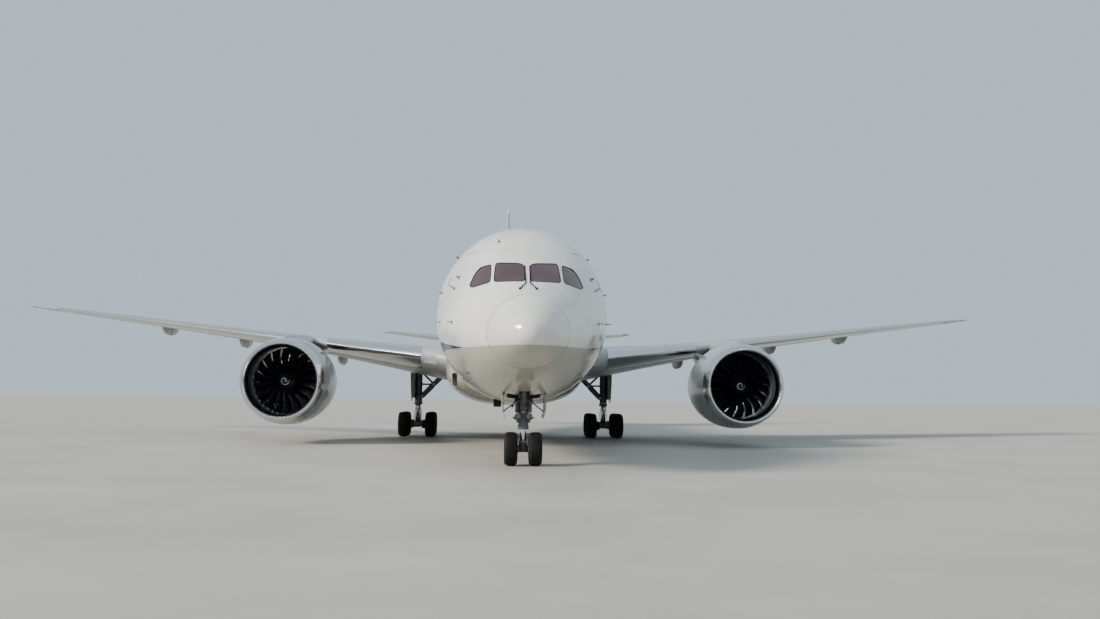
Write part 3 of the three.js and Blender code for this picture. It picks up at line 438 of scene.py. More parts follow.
def settle(shader, **values):
    """Sets the shader's own sockets; underscores stand for spaces."""
    for name, value in values.items():
        shader.inputs[name.replace("_", " ")].default_value = value


def per_metre(size):
    """How often a pattern repeats in a metre of the model, from its full size in mm."""
    return 1000 / (size * SCALE)


def grime(tree, shader, place, colours, patch, stretch=(1, 1, 1), rough=(0.3, 0.4), bump=0.0):
    """Mixes two near colours and two roughnesses in soft patches of a size in mm, full size;
    stretch narrows them along an axis, and bump is a height in metres."""
    spread = add(tree, "Mapping", {"Vector": place, "Scale": stretch})
    noise = add(tree, "TexNoise", {
        "Vector": spread, "Scale": per_metre(patch), "Detail": 6.0, "Roughness": 0.6,
    })
    ramp = add(tree, "ValToRGB", {"Fac": noise})
    ramp.color_ramp.interpolation = "EASE"
    for stop, at, code in zip(ramp.color_ramp.elements, (0.3, 0.7), colours):
        stop.position, stop.color = at, linear(code)
    tree.links.new(ramp.outputs[0], shader.inputs["Base Color"])
    worn = add(tree, "MapRange", {
        "Value": noise, "From Min": 0.25, "From Max": 0.75, "To Min": rough[0], "To Max": rough[1],
    }, interpolation_type="SMOOTHSTEP")
    tree.links.new(worn.outputs[0], shader.inputs["Roughness"])
    if bump:
        raised = add(tree, "Bump", {"Height": noise, "Distance": bump, "Strength": 1.0})
        tree.links.new(raised.outputs[0], shader.inputs["Normal"])
    return ramp, noise


# Height of the line under the white at the nose, and from LINE_LEVEL aft
BELLY_LINE = (3.405, 3.53)
LINE_LEVEL = 7.2
LINE_RISES, LINE_CURVE = 38, 0.008  # station from which the line climbs towards the tail
STRIPE_START = 3.16  # station where the blue stripe begins in a point
STRIPE_GROWTH, STRIPE_WIDTH = 0.079, 0.4
STREAK = (222, 5714, 222)  # mm


def model_y(station):
    return (station - HALF_LENGTH) * SCALE


def gloss_body_paint():
    """Polyurethane gloss paint, sprayed: white over a warm grey belly, parted by a blue stripe."""
    made, tree, shader, place = new_finish("gloss_body_paint")
    white, noise = grime(
        tree, shader, place, ("dddcd6", "ecebe6"), 2222, (1.6, 0.35, 1.6), (0.2, 0.3))
    # Weather leaves faint streaks a hand wide that run aft
    flow = add(tree, "Mapping", {"Vector": place, "Scale": [per_metre(mm) for mm in STREAK]})
    streak = add(tree, "TexNoise", {"Vector": flow, "Scale": 1.0, "Detail": 4.0})
    faint = add(tree, "MapRange", {
        "Value": streak, "From Min": 0.4, "From Max": 0.8, "To Min": 0.0, "To Max": 0.16,
    }, interpolation_type="SMOOTHSTEP")
    aged = add(tree, "MixRGB", {"Fac": faint, "Color1": white, "Color2": linear("b9b5a8")})
    axes = add(tree, "SeparateXYZ", {"Vector": place})
    station, height = axes.outputs["Y"], axes.outputs["Z"]

    aft = add(tree, "Math", {0: station, 1: model_y(LINE_RISES)}, operation="SUBTRACT")
    aft = add(tree, "Math", {0: aft, 1: 0.0}, operation="MAXIMUM")
    climb = add(tree, "Math", {0: aft, 1: 2.0}, operation="POWER")
    climb = add(tree, "Math", {0: climb, 1: LINE_CURVE}, operation="MULTIPLY")
    level = add(tree, "MapRange", {
        "Value": station, "From Min": model_y(0), "From Max": model_y(LINE_LEVEL),
        "To Min": BELLY_LINE[0] * SCALE, "To Max": BELLY_LINE[1] * SCALE,
    })
    line = add(tree, "Math", {0: climb, 1: level}, operation="ADD")
    above = add(tree, "Math", {0: height, 1: line}, operation="SUBTRACT")
    width = add(tree, "Math", {0: station, 1: model_y(STRIPE_START)}, operation="SUBTRACT")
    width = add(tree, "Math", {0: width, 1: STRIPE_GROWTH}, operation="MULTIPLY")
    width = add(tree, "Math", {0: width, 1: STRIPE_WIDTH * SCALE}, operation="MINIMUM")
    width = add(tree, "Math", {0: width, 1: 0.0}, operation="MAXIMUM")
    in_stripe = add(tree, "Math", {0: above, 1: width}, operation="LESS_THAN")
    below = add(tree, "Math", {0: above, 1: 0.0}, operation="LESS_THAN")

    blue, greys = linear("232f66"), (linear("a9a69b"), linear("bcb9ae"))
    striped = add(tree, "MixRGB", {"Fac": in_stripe, "Color1": aged, "Color2": blue})
    belly = add(tree, "MixRGB", {"Fac": noise, "Color1": greys[0], "Color2": greys[1]})
    whole = add(tree, "MixRGB", {"Fac": below, "Color1": striped, "Color2": belly})
    tree.links.new(whole.outputs[0], shader.inputs["Base Color"])
    settle(shader, IOR=1.5, Coat_Weight=0.5, Coat_Roughness=0.06)
    return made


def plain_finish(name, colours, patch, rough, stretch=(1, 1, 1), bump=0.0, **sockets):
    """A finish whose colour and gloss vary softly between two values."""
    made, tree, shader, place = new_finish(name)
    grime(tree, shader, place, colours, patch, stretch, rough, bump)
    settle(shader, **sockets)
    return made


BODY_PAINT = gloss_body_paint()
# Satin grey polyurethane over carbon composite: soft gloss, faint dirt that runs aft
WING_PAINT = plain_finish(
    "satin_wing_paint", ("a7abac", "b2b5b6"), 1667, (0.3, 0.38), (2.5, 0.5, 2.5),
    IOR=1.5, Coat_Weight=0.2, Coat_Roughness=0.15)
# Gloss polyurethane on the gear doors: warm grey, with soft stains of road spray
BELLY_PAINT = plain_finish(
    "gloss_belly_paint", ("a4a196", "bab7ab"), 2222, (0.24, 0.36), (1.6, 0.4, 1.6),
    IOR=1.5, Coat_Weight=0.4, Coat_Roughness=0.08)
# Silver-grey metallic enamel on the engine cowls: flakes give it a broad, cool sheen
NACELLE_PAINT = plain_finish(
    "metallic_cowl_enamel", ("a6acb1", "b1b6bb"), 1333, (0.26, 0.32), (2, 0.5, 2),
    Metallic=0.35, IOR=1.5, Coat_Weight=0.4, Coat_Roughness=0.08)
# Polished bare aluminium: bright, with fine scratches along the flow
BARE_ALUMINIUM = plain_finish(
    "polished_aluminium", ("d2d4d6", "dddfe1"), 250, (0.16, 0.23), (6, 0.6, 6), Metallic=1.0)
# Nickel alloy, heat-stained: straw to brown, duller where the gas scrubs it
HOT_ALLOY = plain_finish(
    "heat_stained_nickel", ("5c534a", "857a6c"), 500, (0.34, 0.5), (1, 2, 1), Metallic=1.0)
# Carbon fibre blade under a dark erosion coat: near black, with a dull gleam
BLADE_COAT = plain_finish("dark_blade_coat", ("1c2025", "2a2f35"), 222, (0.24, 0.36), IOR=1.5)
# Brushed titanium on blade edges and guide vanes, streaked along the flow: its dark grey is painted shade of
# the deep inlet, as bare titanium is lighter
TITANIUM_WITH_PAINTED_SHADE = plain_finish(
    "brushed_titanium_painted_shade", ("4b4e52", "63666a"), 143, (0.3, 0.42), (1, 6, 1), Metallic=1.0)
# Grey enamel on forged steel legs: half gloss, with oily dust in patches
GEAR_ENAMEL = plain_finish("grey_gear_enamel", ("5a5d60", "787b7d"), 333, (0.36, 0.55), IOR=1.5)
# Hard chrome on the shock strut pistons: ground to a mirror, faintly filmed with oil
CHROME = plain_finish("hard_chrome", ("c4c6c8", "d8dadc"), 100, (0.08, 0.16), Metallic=1.0)
# Cadmium-plated steel bolts, pins and probes: pale and dull
STEEL = plain_finish("plated_steel", ("8c8d8f", "a9aaab"), 125, (0.28, 0.42), Metallic=1.0)
# Carbon brake discs: matt black, faintly brown with wear
CARBON = plain_finish("carbon_brake_discs", ("1d1c1b", "2e2b28"), 100, (0.55, 0.7), IOR=1.5)
# Grey enamel on forged wheels: satin, darkened by brake dust
WHEEL_ENAMEL = plain_finish("wheel_enamel", ("8d9091", "b0b2b2"), 200, (0.36, 0.5), IOR=1.5)
# Tyre rubber: matt black with grey dust worn into the tread
RUBBER = plain_finish(
    "tyre_rubber", ("141416", "2b2a29"), 143, (0.72, 0.9), bump=0.001, IOR=1.52)
# Moulded black rubber and sleeving: deep black, half matt
SEAL = plain_finish("black_seal_rubber", ("0c0c0d", "1a1a1b"), 167, (0.5, 0.7), IOR=1.52)
# Laminated windscreen glass with a heating film: a warm tint and sharp reflections over a dark colour, which
# is painted shade of the unlit flight deck behind
WINDSCREEN_OVER_PAINTED_SHADE = plain_finish(
    "laminated_glass_over_painted_shade", ("452c30", "54383b"), 1000, (0.03, 0.07),
    IOR=1.52, Coat_Weight=0.6, Coat_Roughness=0.03)
# Stretched acrylic cabin windows over a dim cabin: dark, a little scratched
CABIN_GLASS = plain_finish(
    "cabin_window_acrylic", ("15181c", "23272c"), 2000, (0.06, 0.12), IOR=1.49)
# Glass fibre liner panels: off-white and matt, scuffed by loading
LINER = plain_finish("glass_fibre_liner", ("b9bab4", "cfd0ca"), 667, (0.5, 0.65), IOR=1.5)
# Green-grey epoxy primer inside the gear bay: flat and dusty, and painted darker than the primer itself as
# shade of the deep bay
PRIMER_WITH_PAINTED_SHADE = plain_finish("bay_primer_painted_shade", ("5c6157", "72776b"), 400, (0.5, 0.65), IOR=1.5)
# A lamp that is off: silvered bowl behind ribbed glass, which looks like grey metal
LAMP_GLASS = plain_finish(
    "silvered_lamp_glass", ("5f656a", "7b8186"), 250, (0.1, 0.2),
    Metallic=0.8, Coat_Weight=1.0, Coat_Roughness=0.03)
# Clear polycarbonate lamp covers: nearly invisible but for their reflections
COVER_GLASS = plain_finish(
    "clear_cover_glass", ("dfe4e6", "eef1f2"), 500, (0.02, 0.05), IOR=1.5, Alpha=0.25)
# Frosted acrylic over the hold's lamps: an even warm glow
ROOF_LAMP = plain_finish(
    "frosted_roof_lamp", ("e4e6e4", "f1f2ef"), 250, (0.4, 0.5),
    IOR=1.5, Emission_Color=linear("fff6e4"), Emission_Strength=0.6)
# Dyed polycarbonate lenses: deep glossy red, and green
RED_LENS = plain_finish("red_lamp_lens", ("8d1410", "a81a14"), 250, (0.08, 0.15), IOR=1.5)
GREEN_LENS = plain_finish("green_lamp_lens", ("0f6a3a", "158048"), 250, (0.08, 0.15), IOR=1.5)
# White enamel brushed on the spinner: flat, a little uneven
MARK_WHITE = plain_finish("white_spinner_mark", ("d9d9d6", "ebebe8"), 200, (0.35, 0.5), IOR=1.5)
# Perforated duct lining, matt: its holes are too fine to show and make it a little darker; the rest of its
# dark grey is painted shade of the deep inlet
DUCT_LINING_WITH_PAINTED_SHADE = plain_finish(
    "acoustic_lining_painted_shade", ("3d4348", "4e5459"), 333, (0.4, 0.55), IOR=1.5)

# Fuselage

# station, half width, top, widest height, bottom; heights are from the cabin tube's axis
AXIS = 4.82
BODY = np.array([
    [0, 0.04, -1.06, -1.1, -1.14], [0.09, 0.3, -0.8, -1.1, -1.36], [0.3, 0.56, -0.6, -1.095, -1.56],
    [0.7, 0.82, -0.34, -1.085, -1.76], [1.35, 1.12, 0.02, -1.05, -2.0], [2.3, 1.55, 0.43, -0.93, -2.27],
    [3.3, 1.95, 1.08, -0.77, -2.495], [4.3, 2.25, 1.7, -0.59, -2.66], [5.3, 2.48, 2.19, -0.44, -2.78],
    [6.6, 2.7, 2.63, -0.27, -2.89], [8.2, 2.86, 2.93, -0.12, -2.96], [10.5, 2.885, 2.985, 0, -2.985],
    [36.0, 2.885, 2.985, 0, -2.985], [38.5, 2.85, 2.98, 0.04, -2.82], [41.0, 2.73, 2.96, 0.16, -2.37],
    [44.0, 2.45, 2.91, 0.42, -1.64], [47.0, 2.08, 2.83, 0.76, -0.86], [50.0, 1.64, 2.72, 1.1, -0.13],
    [52.5, 1.19, 2.54, 1.36, 0.5], [54.3, 0.8, 2.34, 1.52, 0.89], [55.3, 0.56, 2.17, 1.59, 1.08],
    [55.9, 0.38, 2.01, 1.62, 1.24],
])
BODY_END = BODY[-1, 0]
BODY_SIDES = 128
TUBE = (10.5, 36.0)  # stations between which the body is a straight tube
RADOME_END, RADOME_GAP = 1.35, 0.028
TAIL_CONE_START = 54.3
JOINTS = (7.4, 14.6, 24.0, 34.9, 43.4, 48.6)  # stations of the barrel joints
JOINT_HALF, JOINT_DEPTH = 0.008, 0.01


def body_at(stations):
    """Rows of the fuselage table at stations, smooth; the nose is round like a square root."""
    return monotone(np.sqrt(BODY[:, 0]), BODY[:, 1:], np.sqrt(stations))


def body_stations(start, end):
    """Stations close together where the shape bends."""
    nose = np.linspace(0.0, sqrt(TUBE[0]), 64) ** 2
    tube = np.linspace(*TUBE, 18)
    tail = np.linspace(TUBE[1], BODY_END, 44)
    every = np.unique(np.concatenate([[start, end], nose, tube, tail]))
    return every[(every >= start) & (every <= end)]


def off_edges(places, edges, margin):
    """The places that keep a margin from every edge, where rows for a groove will go."""
    return [p for p in places if all(abs(p - e) > margin for e in edges)]


def body(grow=0.0, start=0.0, end=BODY_END, joints=()):
    """The fuselage as a solid, grown by a margin, with grooves round it at its joints."""
    rows = [(s, grow) for s in off_edges(body_stations(start, end), joints, 0.03)]
    for j in joints:
        rows += [(j - JOINT_HALF, grow), (j - JOINT_HALF + 5e-4, grow - JOINT_DEPTH)]
        rows += [(j + JOINT_HALF - 5e-4, grow - JOINT_DEPTH), (j + JOINT_HALF, grow)]
    rows.sort()
    shape = body_at([s for s, _ in rows])
    rings = []
    for (station, margin), (half_width, top, middle, bottom) in zip(rows, shape):
        ring = []
        for a in turns(BODY_SIDES, 0.5):
            half = top - middle if cos(a) > 0 else middle - bottom
            ring.append((
                sin(a) * max(half_width + margin, 0.005),
                station,
                AXIS + middle + cos(a) * max(half + margin, 0.005),
            ))
        rings.append(ring)
    return loft(rings)


# The flight deck's panes as seen from ahead, on the port side: x, height above the body axis
WINDSCREEN = [
    (0.075, 0.47), (0.945, 0.485), (0.97, 0.6), (0.925, 1.13), (0.87, 1.18), (0.16, 1.125),
    (0.065, 1.01),
]
SIDE_WINDOW = [
    (1.075, 0.48), (1.59, 0.365), (1.68, 0.47), (1.545, 0.835), (1.38, 1.07), (1.025, 1.15),
    (1.04, 0.56),
]
PANE_FROM, PANE_TO = 1.4, 6.0  # stations between which the panes lie
NOSE_LAYER = (0.9, 8.2)  # stations of the skin that the panes are cut from

WINDOW_PITCH = 0.61
WINDOW_SIZE = (0.28, 0.47)
WINDOW_HEIGHT = AXIS + 0.8
WINDOW_RUNS = ((7.9, 14.5), (16.6, 34.0), (36.9, 44.0))  # stations between the passenger doors
DOORS = (5.95, 15.55, 35.4, 45.2)  # stations of the passenger doors' middles
DOOR_SIZE = (1.1, 1.95)
DOOR_SILL = 4.62
CABIN = (4.0, 50.0)  # stations between which the windows lie
CARGO_DOORS = (("cargo_door_forward", 11.2, 13.89), ("cargo_door_aft", 36.3, 38.99))
CARGO_SILL, CARGO_HEAD = 2.55, 4.15
CARGO_DEPTH, CARGO_BAYS = 0.15, 5
HINGE_INSET, HINGE_RADIUS, KNUCKLES = 0.025, 0.03, 9
HEAD_GAP = 0.056  # the opening reaches this far above the hinge line, so that the door swings clear
HOLD_DEPTH = 3.4
CLEAR = 0.012


def pane_outlines(margin=0.0):
    """The four flight deck panes, rounded, as outlines in x and z."""
    made = []
    for outline in (WINDSCREEN, SIDE_WINDOW):
        for sign in (1, -1):
            lifted_up = [(sign * x, AXIS + z) for x, z in outline]
            made.append(grown(rounded(lifted_up, 0.11), margin))
    return made


def window_outlines():
    """The cabin windows, as outlines in station and z."""
    w, h = WINDOW_SIZE
    low, high = WINDOW_HEIGHT - h / 2, WINDOW_HEIGHT + h / 2
    made = []
    for start, end in WINDOW_RUNS:
        count = int((end - start) / WINDOW_PITCH) + 1
        for i in range(count):
            s = start + i * WINDOW_PITCH
            made.append(rounded_box((s - w / 2, low), (s + w / 2, high), 0.13, 4))
    return made


def peep_outlines():
    """The small windows in the passenger doors."""
    low, high = WINDOW_HEIGHT - 0.13, WINDOW_HEIGHT + 0.16
    return [rounded_box((middle - 0.1, low), (middle + 0.1, high), 0.09) for middle in DOORS]


SKIN_FROM, SKIN_TO = 1.2, 3.4  # distances from the middle between which every side skin lies
STARBOARD_SKIN = (-SKIN_TO, -SKIN_FROM)


def both_sides(make):
    """Cutters from the cabin's axis outwards on each side."""
    return [make(SKIN_FROM, SKIN_TO), make(*STARBOARD_SKIN)]


def half_width_at(station, z):
    """The faceted body's half width, from the same rows as the frame's."""
    after = int(np.searchsorted(BODY[:, 0], station))
    t = (station - BODY[after - 1, 0]) / (BODY[after, 0] - BODY[after - 1, 0])
    _, half_width, top, middle, bottom = BODY[after - 1] * (1 - t) + BODY[after] * t
    height = z - AXIS - middle
    share = height / (top - middle if height > 0 else middle - bottom)
    return half_width * sqrt(1 - share * share)


def cargo_frame(first, last):
    """The frame along a cargo door's hinge: aft, inboard, down; and the door's length."""
    ends = [(HINGE_INSET - half_width_at(s, CARGO_HEAD), s, CARGO_HEAD) for s in (first, last)]
    return frame_from(*ends, side=(1, 0, 0)), (Vector(ends[1]) - Vector(ends[0])).length


NOSE_BAY = ((-0.5, 4.56), (0.5, 5.58))  # x and station of the nose gear's bay
BRACE_BAY = ((-0.15, 3.84), (0.15, 4.6))
BAY_ROOF, BAY_WALL = 2.5, 0.02
BELLY_NEAR_BAY = (3.0, 7.0)  # stations of the belly round the bay


def bay_boxes(grow=0.0):
    """The nose gear's bay, and the slot ahead of it for the drag brace."""
    return [
        block((low[0] - grow, low[1] - grow, 1.5), (high[0] + grow, high[1] + grow, BAY_ROOF + grow))
        for low, high in (NOSE_BAY, BRACE_BAY)
    ]


def make_nose_bay():
    """The bay's painted lining with its frames."""
    outer = bay_boxes(BAY_WALL - 0.002)
    lining = carved(joined(outer[0], outer[1]), *bay_boxes())
    inside = body(-0.004, *BELLY_NEAR_BAY)
    # Lining and frames are darkened with painted shade of the bay.
    piece("nose_bay_lining", common(lining, inside), PRIMER_WITH_PAINTED_SHADE)
    frames = []
    for x in (NOSE_BAY[0][0], NOSE_BAY[1][0]):
        for s in (4.75, 5.0, 5.25, 5.5):
            frames.append(block((x - 0.03, s - 0.015, 2.0), (x + 0.03, s + 0.015, BAY_ROOF)))
    for s in (4.75, 5.4):
        frames.append(block((-0.5, s - 0.015, BAY_ROOF - 0.05), (0.5, s + 0.015, BAY_ROOF)))
    frames = common(together(*frames), inside)
    piece("nose_bay_frames", frames, PRIMER_WITH_PAINTED_SHADE)


def side_grooves():
    """Cutters for the thin lines on the skin: door handles, hatches, the stabiliser's seal plate."""
    grooves = []
    for middle in DOORS:
        low, high = (middle - 0.16, DOOR_SILL + 0.82), (middle + 0.16, DOOR_SILL + 0.95)
        handle = rounded_box(low, high, 0.04)
        grooves += both_sides(lambda a, b: prism(handle, 0, a, b))
    service = rounded_box((43.9, 3.5), (44.8, 4.4), 0.12)
    grooves.append(rim_prism(service, 0.022, 0, SKIN_FROM, SKIN_TO))
    for low, high in (((4.35, 2.2), (4.95, 2.75)), ((9.2, 2.3), (9.7, 2.7))):
        hatch = rounded_box(low, high, 0.06)
        grooves += both_sides(lambda a, b: rim_prism(hatch, 0.016, 0, a, b))
    trim_plate = rounded_box((46.7, 5.3), (53.2, 6.75), 0.6)
    grooves += [rim_prism(trim_plate, 0.018, 0, *ends) for ends in ((0.5, SKIN_TO), (-SKIN_TO, -0.5))]
    return together(*grooves)


def door_rims():
    """Cutters for the gaps round the passenger doors."""
    w, h = DOOR_SIZE
    rims = []
    for middle in DOORS:
        outline = rounded_box((middle - w / 2, DOOR_SILL), (middle + w / 2, DOOR_SILL + h), 0.2)
        rims += both_sides(lambda a, b: rim_prism(outline, 0.034, 0, a, b))
    return together(*rims)


def cargo_openings():
    """Cutters for the cargo doors' openings, whose heads are a little higher than the hinges."""
    holes = []
    for _, first, last in CARGO_DOORS:
        place, length = cargo_frame(first, last)
        far = (length + CLEAR, HOLD_DEPTH, CARGO_HEAD - CARGO_SILL + CLEAR)
        holes.append(block((-CLEAR, -1, -HINGE_RADIUS), far, place))
        holes.append(block((-CLEAR, -1, -HEAD_GAP), (length + CLEAR, 0.3, 0), place))
    return holes


def make_fuselage():
    """Skin, panes and windows, all cut from the same smooth body."""
    glazed = window_outlines() + peep_outlines()
    window_cuts = [c for o in glazed for c in both_sides(lambda a, b: prism(o, 0, a, b))]
    pane_cuts = [prism(o, 1, PANE_FROM, PANE_TO) for o in pane_outlines()]
    shallow = carved(side_grooves(), body(-0.012, 2.0, 54.2))
    rims = carved(door_rims(), body(-0.024, 2.0, 50.0))
    deep = carved(together(*window_cuts), body(-0.03, *CABIN))
    pane_pockets = carved(together(*pane_cuts), body(-0.06, 0.5, 8.2))
    skin = body(0, RADOME_END, TAIL_CONE_START, JOINTS)
    skin = carved(skin, shallow, rims, deep, pane_pockets, *cargo_openings(), *bay_boxes(BAY_WALL))
    piece("fuselage_skin", skin, BODY_PAINT, "white_paint", ("fuselage",))

    radome = body(0, 0.0, RADOME_END - RADOME_GAP)
    piece("radome_skin", radome, BODY_PAINT, "white_paint", ("radome",))
    band = body(-0.008, RADOME_END - 0.05, RADOME_END + 0.05)
    piece("radome_seal", band, SEAL)

    under = body(-0.05, 0.5, 8.6)
    panes = together(*[prism(o, 1, PANE_FROM, PANE_TO) for o in pane_outlines(-0.022)])
    panes = common(carved(body(-0.008, *NOSE_LAYER), under), panes)
    # The panes' dark colour is painted shade of the flight deck behind them.
    piece("flight_deck_panes", panes, WINDSCREEN_OVER_PAINTED_SHADE, "windscreen_glass", ("flight_deck_windows",))
    seals = together(*[rim_prism(o, 0.02, 1, PANE_FROM, PANE_TO) for o in pane_outlines(-0.012)])
    seals = common(carved(body(-0.003, *NOSE_LAYER), under), seals)
    piece("flight_deck_seals", seals, SEAL)

    layer = carved(body(-0.014, *CABIN), body(-0.026, CABIN[0] - 0.1, CABIN[1] + 0.1))
    glass = together(*[
        pane for o in glazed for pane in both_sides(lambda a, b: prism(grown(o, -0.008), 0, a, b))
    ])
    piece("cabin_windows", common(layer, glass), CABIN_GLASS)


def make_cargo_doors():
    """Curved doors, hollowed between their inner frames, each on a long hinge, with their holds."""
    height = CARGO_HEAD - CARGO_SILL
    for name, first, last in CARGO_DOORS:
        place, length = cargo_frame(first, last)
        shell = carved(body(0, first - 2, last + 2), body(-CARGO_DEPTH, first - 2.2, last + 2.2))
        space = block((0.004, -1, CLEAR), (length - 0.004, 2.2, height), place)
        handles = [
            prism(rounded_box((a, 2.72), (a + 0.35, 2.84), 0.04), 0, *STARBOARD_SKIN)
            for a in (first + 0.2, last - 0.55)
        ]
        vent = rounded_box((first + 1.15, 3.1), (first + 1.55, 3.4), 0.05)
        marks = together(*handles, rim_prism(vent, 0.014, 0, *STARBOARD_SKIN))
        marks = carved(marks, body(-0.014, first - 2, last + 2))
        pockets = []
        bay = (last - first - 0.2) / CARGO_BAYS
        for k in range(CARGO_BAYS):
            a = first + 0.1 + bay * k
            for z in (2.66, 3.15, 3.63):
                pocket = rounded_box((a, z), (a + bay - 0.07, z + 0.42), 0.05)
                pockets.append(prism(pocket, 0, *STARBOARD_SKIN))
        inside = common(together(*pockets), body(-0.03, first - 2, last + 2))
        panel = carved(common(shell, space), marks, inside)
        piece(f"{name}_panel", panel, BODY_PAINT, "white_paint", (name,), body=name)

        knuckles = []
        for k in range(KNUCKLES):
            a, b = length * (k + 0.08) / KNUCKLES, length * (k + 0.92) / KNUCKLES
            rows = [(a, 0.024), (a + 0.006, HINGE_RADIUS), (b - 0.006, HINGE_RADIUS), (b, 0.024)]
            knuckles.append(lathe(rows, place, 20))
        piece(f"{name}_hinge", together(*knuckles), BARE_ALUMINIUM, body=name)
        make_hold(name.replace("cargo_door", "cargo_hold"), place, length, height)


def make_tail_cone():
    """The bare metal cone with the auxiliary engine's exhaust pipe in it."""
    cone = body(0, TAIL_CONE_START + 0.012, BODY_END)
    end = frame_from((0, BODY_END, AXIS + 1.62), (0, 57, AXIS + 1.62), UP)
    ahead = frame_from((0, BODY_END - 0.02, AXIS + 1.62), (0, 57, AXIS + 1.62), UP)
    outlet = lathe([(-0.6, 0.24), (0.2, 0.24)], end, 40)
    piece("tail_cone_skin", carved(cone, outlet), BARE_ALUMINIUM, "bare_leading_edge", ("tail_cone",))
    wall = lathe([(-0.58, 0.235), (0.0, 0.235)], ahead, 40)
    exhaust = carved(wall, lathe([(-0.5, 0.21), (0.2, 0.21)], end, 40))
    piece("auxiliary_exhaust", exhaust, HOT_ALLOY, "hot_section_metal")


def make_hold(name, place, length, height):
    """A lined cargo hold behind its door: walls, floor with roller tracks, roof lamps."""
    wall = 0.03
    start = 0.42  # inboard of the hinge, clear of the door's depth at the head
    roof = -HINGE_RADIUS
    outer = block((0.0, start, roof + 0.004), (length, HOLD_DEPTH - 0.004, height + CLEAR - 0.004), place)
    inner = block((wall, start - 0.5, roof + wall), (length - wall, HOLD_DEPTH - wall, height - wall), place)
    door_side = block((-1, -2, height * 0.4), (length + 1, 1.25, height + 1), place)
    piece(f"{name}_liner", carved(outer, inner, door_side), LINER)
    tracks = []
    for k in range(5):
        a = length * (k + 0.5) / 5
        low, high = (a - 0.07, 1.3, height - 0.075), (a + 0.07, HOLD_DEPTH - 0.1, height - 0.032)
        tracks.append(block(low, high, place))
        for r in range(9):
            ends = [place @ Vector((a + e, 1.4 + r * 0.22, height - 0.085)) for e in (-0.055, 0.055)]
            tracks.append(rod(*ends, 0.022, sides=12))
    piece(f"{name}_roller_tracks", together(*tracks), BARE_ALUMINIUM)
    lamps = []
    for at in (0.3 * length, 0.7 * length):
        low, high = (at - 0.25, 1.6, roof + wall), (at + 0.25, 1.72, roof + wall + 0.03)
        lamps.append(block(low, high, place))
    piece(f"{name}_lamps", together(*lamps), ROOF_LAMP)


make_fuselage()
make_cargo_doors()
make_tail_cone()
make_nose_bay()

# Belly fairing: station, half width, bottom, top
FAIRING = np.array([
    [15.4, 2.35, 2.06, 4.2], [17.5, 2.9, 1.86, 4.35], [20.0, 3.11, 1.74, 4.42], [24.0, 3.15, 1.7, 4.4],
    [28.5, 3.15, 1.7, 4.35], [31.5, 2.96, 1.78, 4.2], [33.8, 2.56, 1.96, 4.0], [35.6, 2.1, 2.26, 3.8],
])
FAIRING_MIDDLE = 3.5
SLOT_X, SLOT_HEIGHT, SLOT_END = 2.56, 2.78, 17.9  # air inlets that face ahead
SLOT_HALF = (0.12, 0.27)
FAIRING_SIDES = 96
FAIRING_POWER = 2 / 2.6
BELLY_SKIN = (1.2, 2.6)  # heights between which the fairing's underside lies
GEAR_BAY = (25.9, 29.9)  # stations of the closed main gear doors


def squared(value, power):
    """A sine or cosine bent so that a round section fills out towards a box."""
    return copysign(abs(value) ** power, value)


def fairing_solid(cut=0.0, grow=0.0):
    """The fairing, shorter at each end by cut."""
    stations = np.linspace(FAIRING[0, 0] + cut, FAIRING[-1, 0] - cut, 64)
    shape = monotone(FAIRING[:, 0], FAIRING[:, 1:], stations)
    rings = []
    for station, (half_width, bottom, top) in zip(stations, shape):
        ring = []
        for a in turns(FAIRING_SIDES, 0.5):
            half = top - FAIRING_MIDDLE if cos(a) > 0 else FAIRING_MIDDLE - bottom
            x = squared(sin(a), FAIRING_POWER) * (half_width + grow)
            up = squared(cos(a), FAIRING_POWER) * (half + grow)
            ring.append((x, station, FAIRING_MIDDLE + up))
        rings.append(ring)
    return loft(rings)


def make_fairing():
    """The smooth fairing under the wing's middle, with its air inlets and gear door joints."""
    lines = []
    for first, last in ((0.06, 2.35), (-2.35, -0.06)):
        door = rounded_box((first, GEAR_BAY[0]), (last, GEAR_BAY[1]), 0.15)
        lines.append(rim_prism(door, 0.02, 2, *BELLY_SKIN))
    for x in (-1.2, 1.2):
        for s in (20.6, 22.4, 31.4):
            hatch = rounded_box((x - 0.45, s - 0.3), (x + 0.45, s + 0.3), 0.08)
            lines.append(rim_prism(hatch, 0.014, 2, *BELLY_SKIN))
    grooves = carved(together(*lines), fairing_solid(0.2, -0.012))
    slot = rounded_box((-SLOT_HALF[0], -SLOT_HALF[1]), SLOT_HALF, 0.08)
    inlets = together(*[
        prism([(p[0] + sign * SLOT_X, p[1] + SLOT_HEIGHT) for p in slot], 1, 15.0, SLOT_END)
        for sign in (1, -1)
    ])
    inlets = carved(inlets, fairing_solid(0.2, -0.22))
    piece("belly_fairing_skin", carved(fairing_solid(), grooves, inlets), BODY_PAINT,
          "belly_grey_paint", ("belly_fairing",))


make_fairing()

# Wings and tail

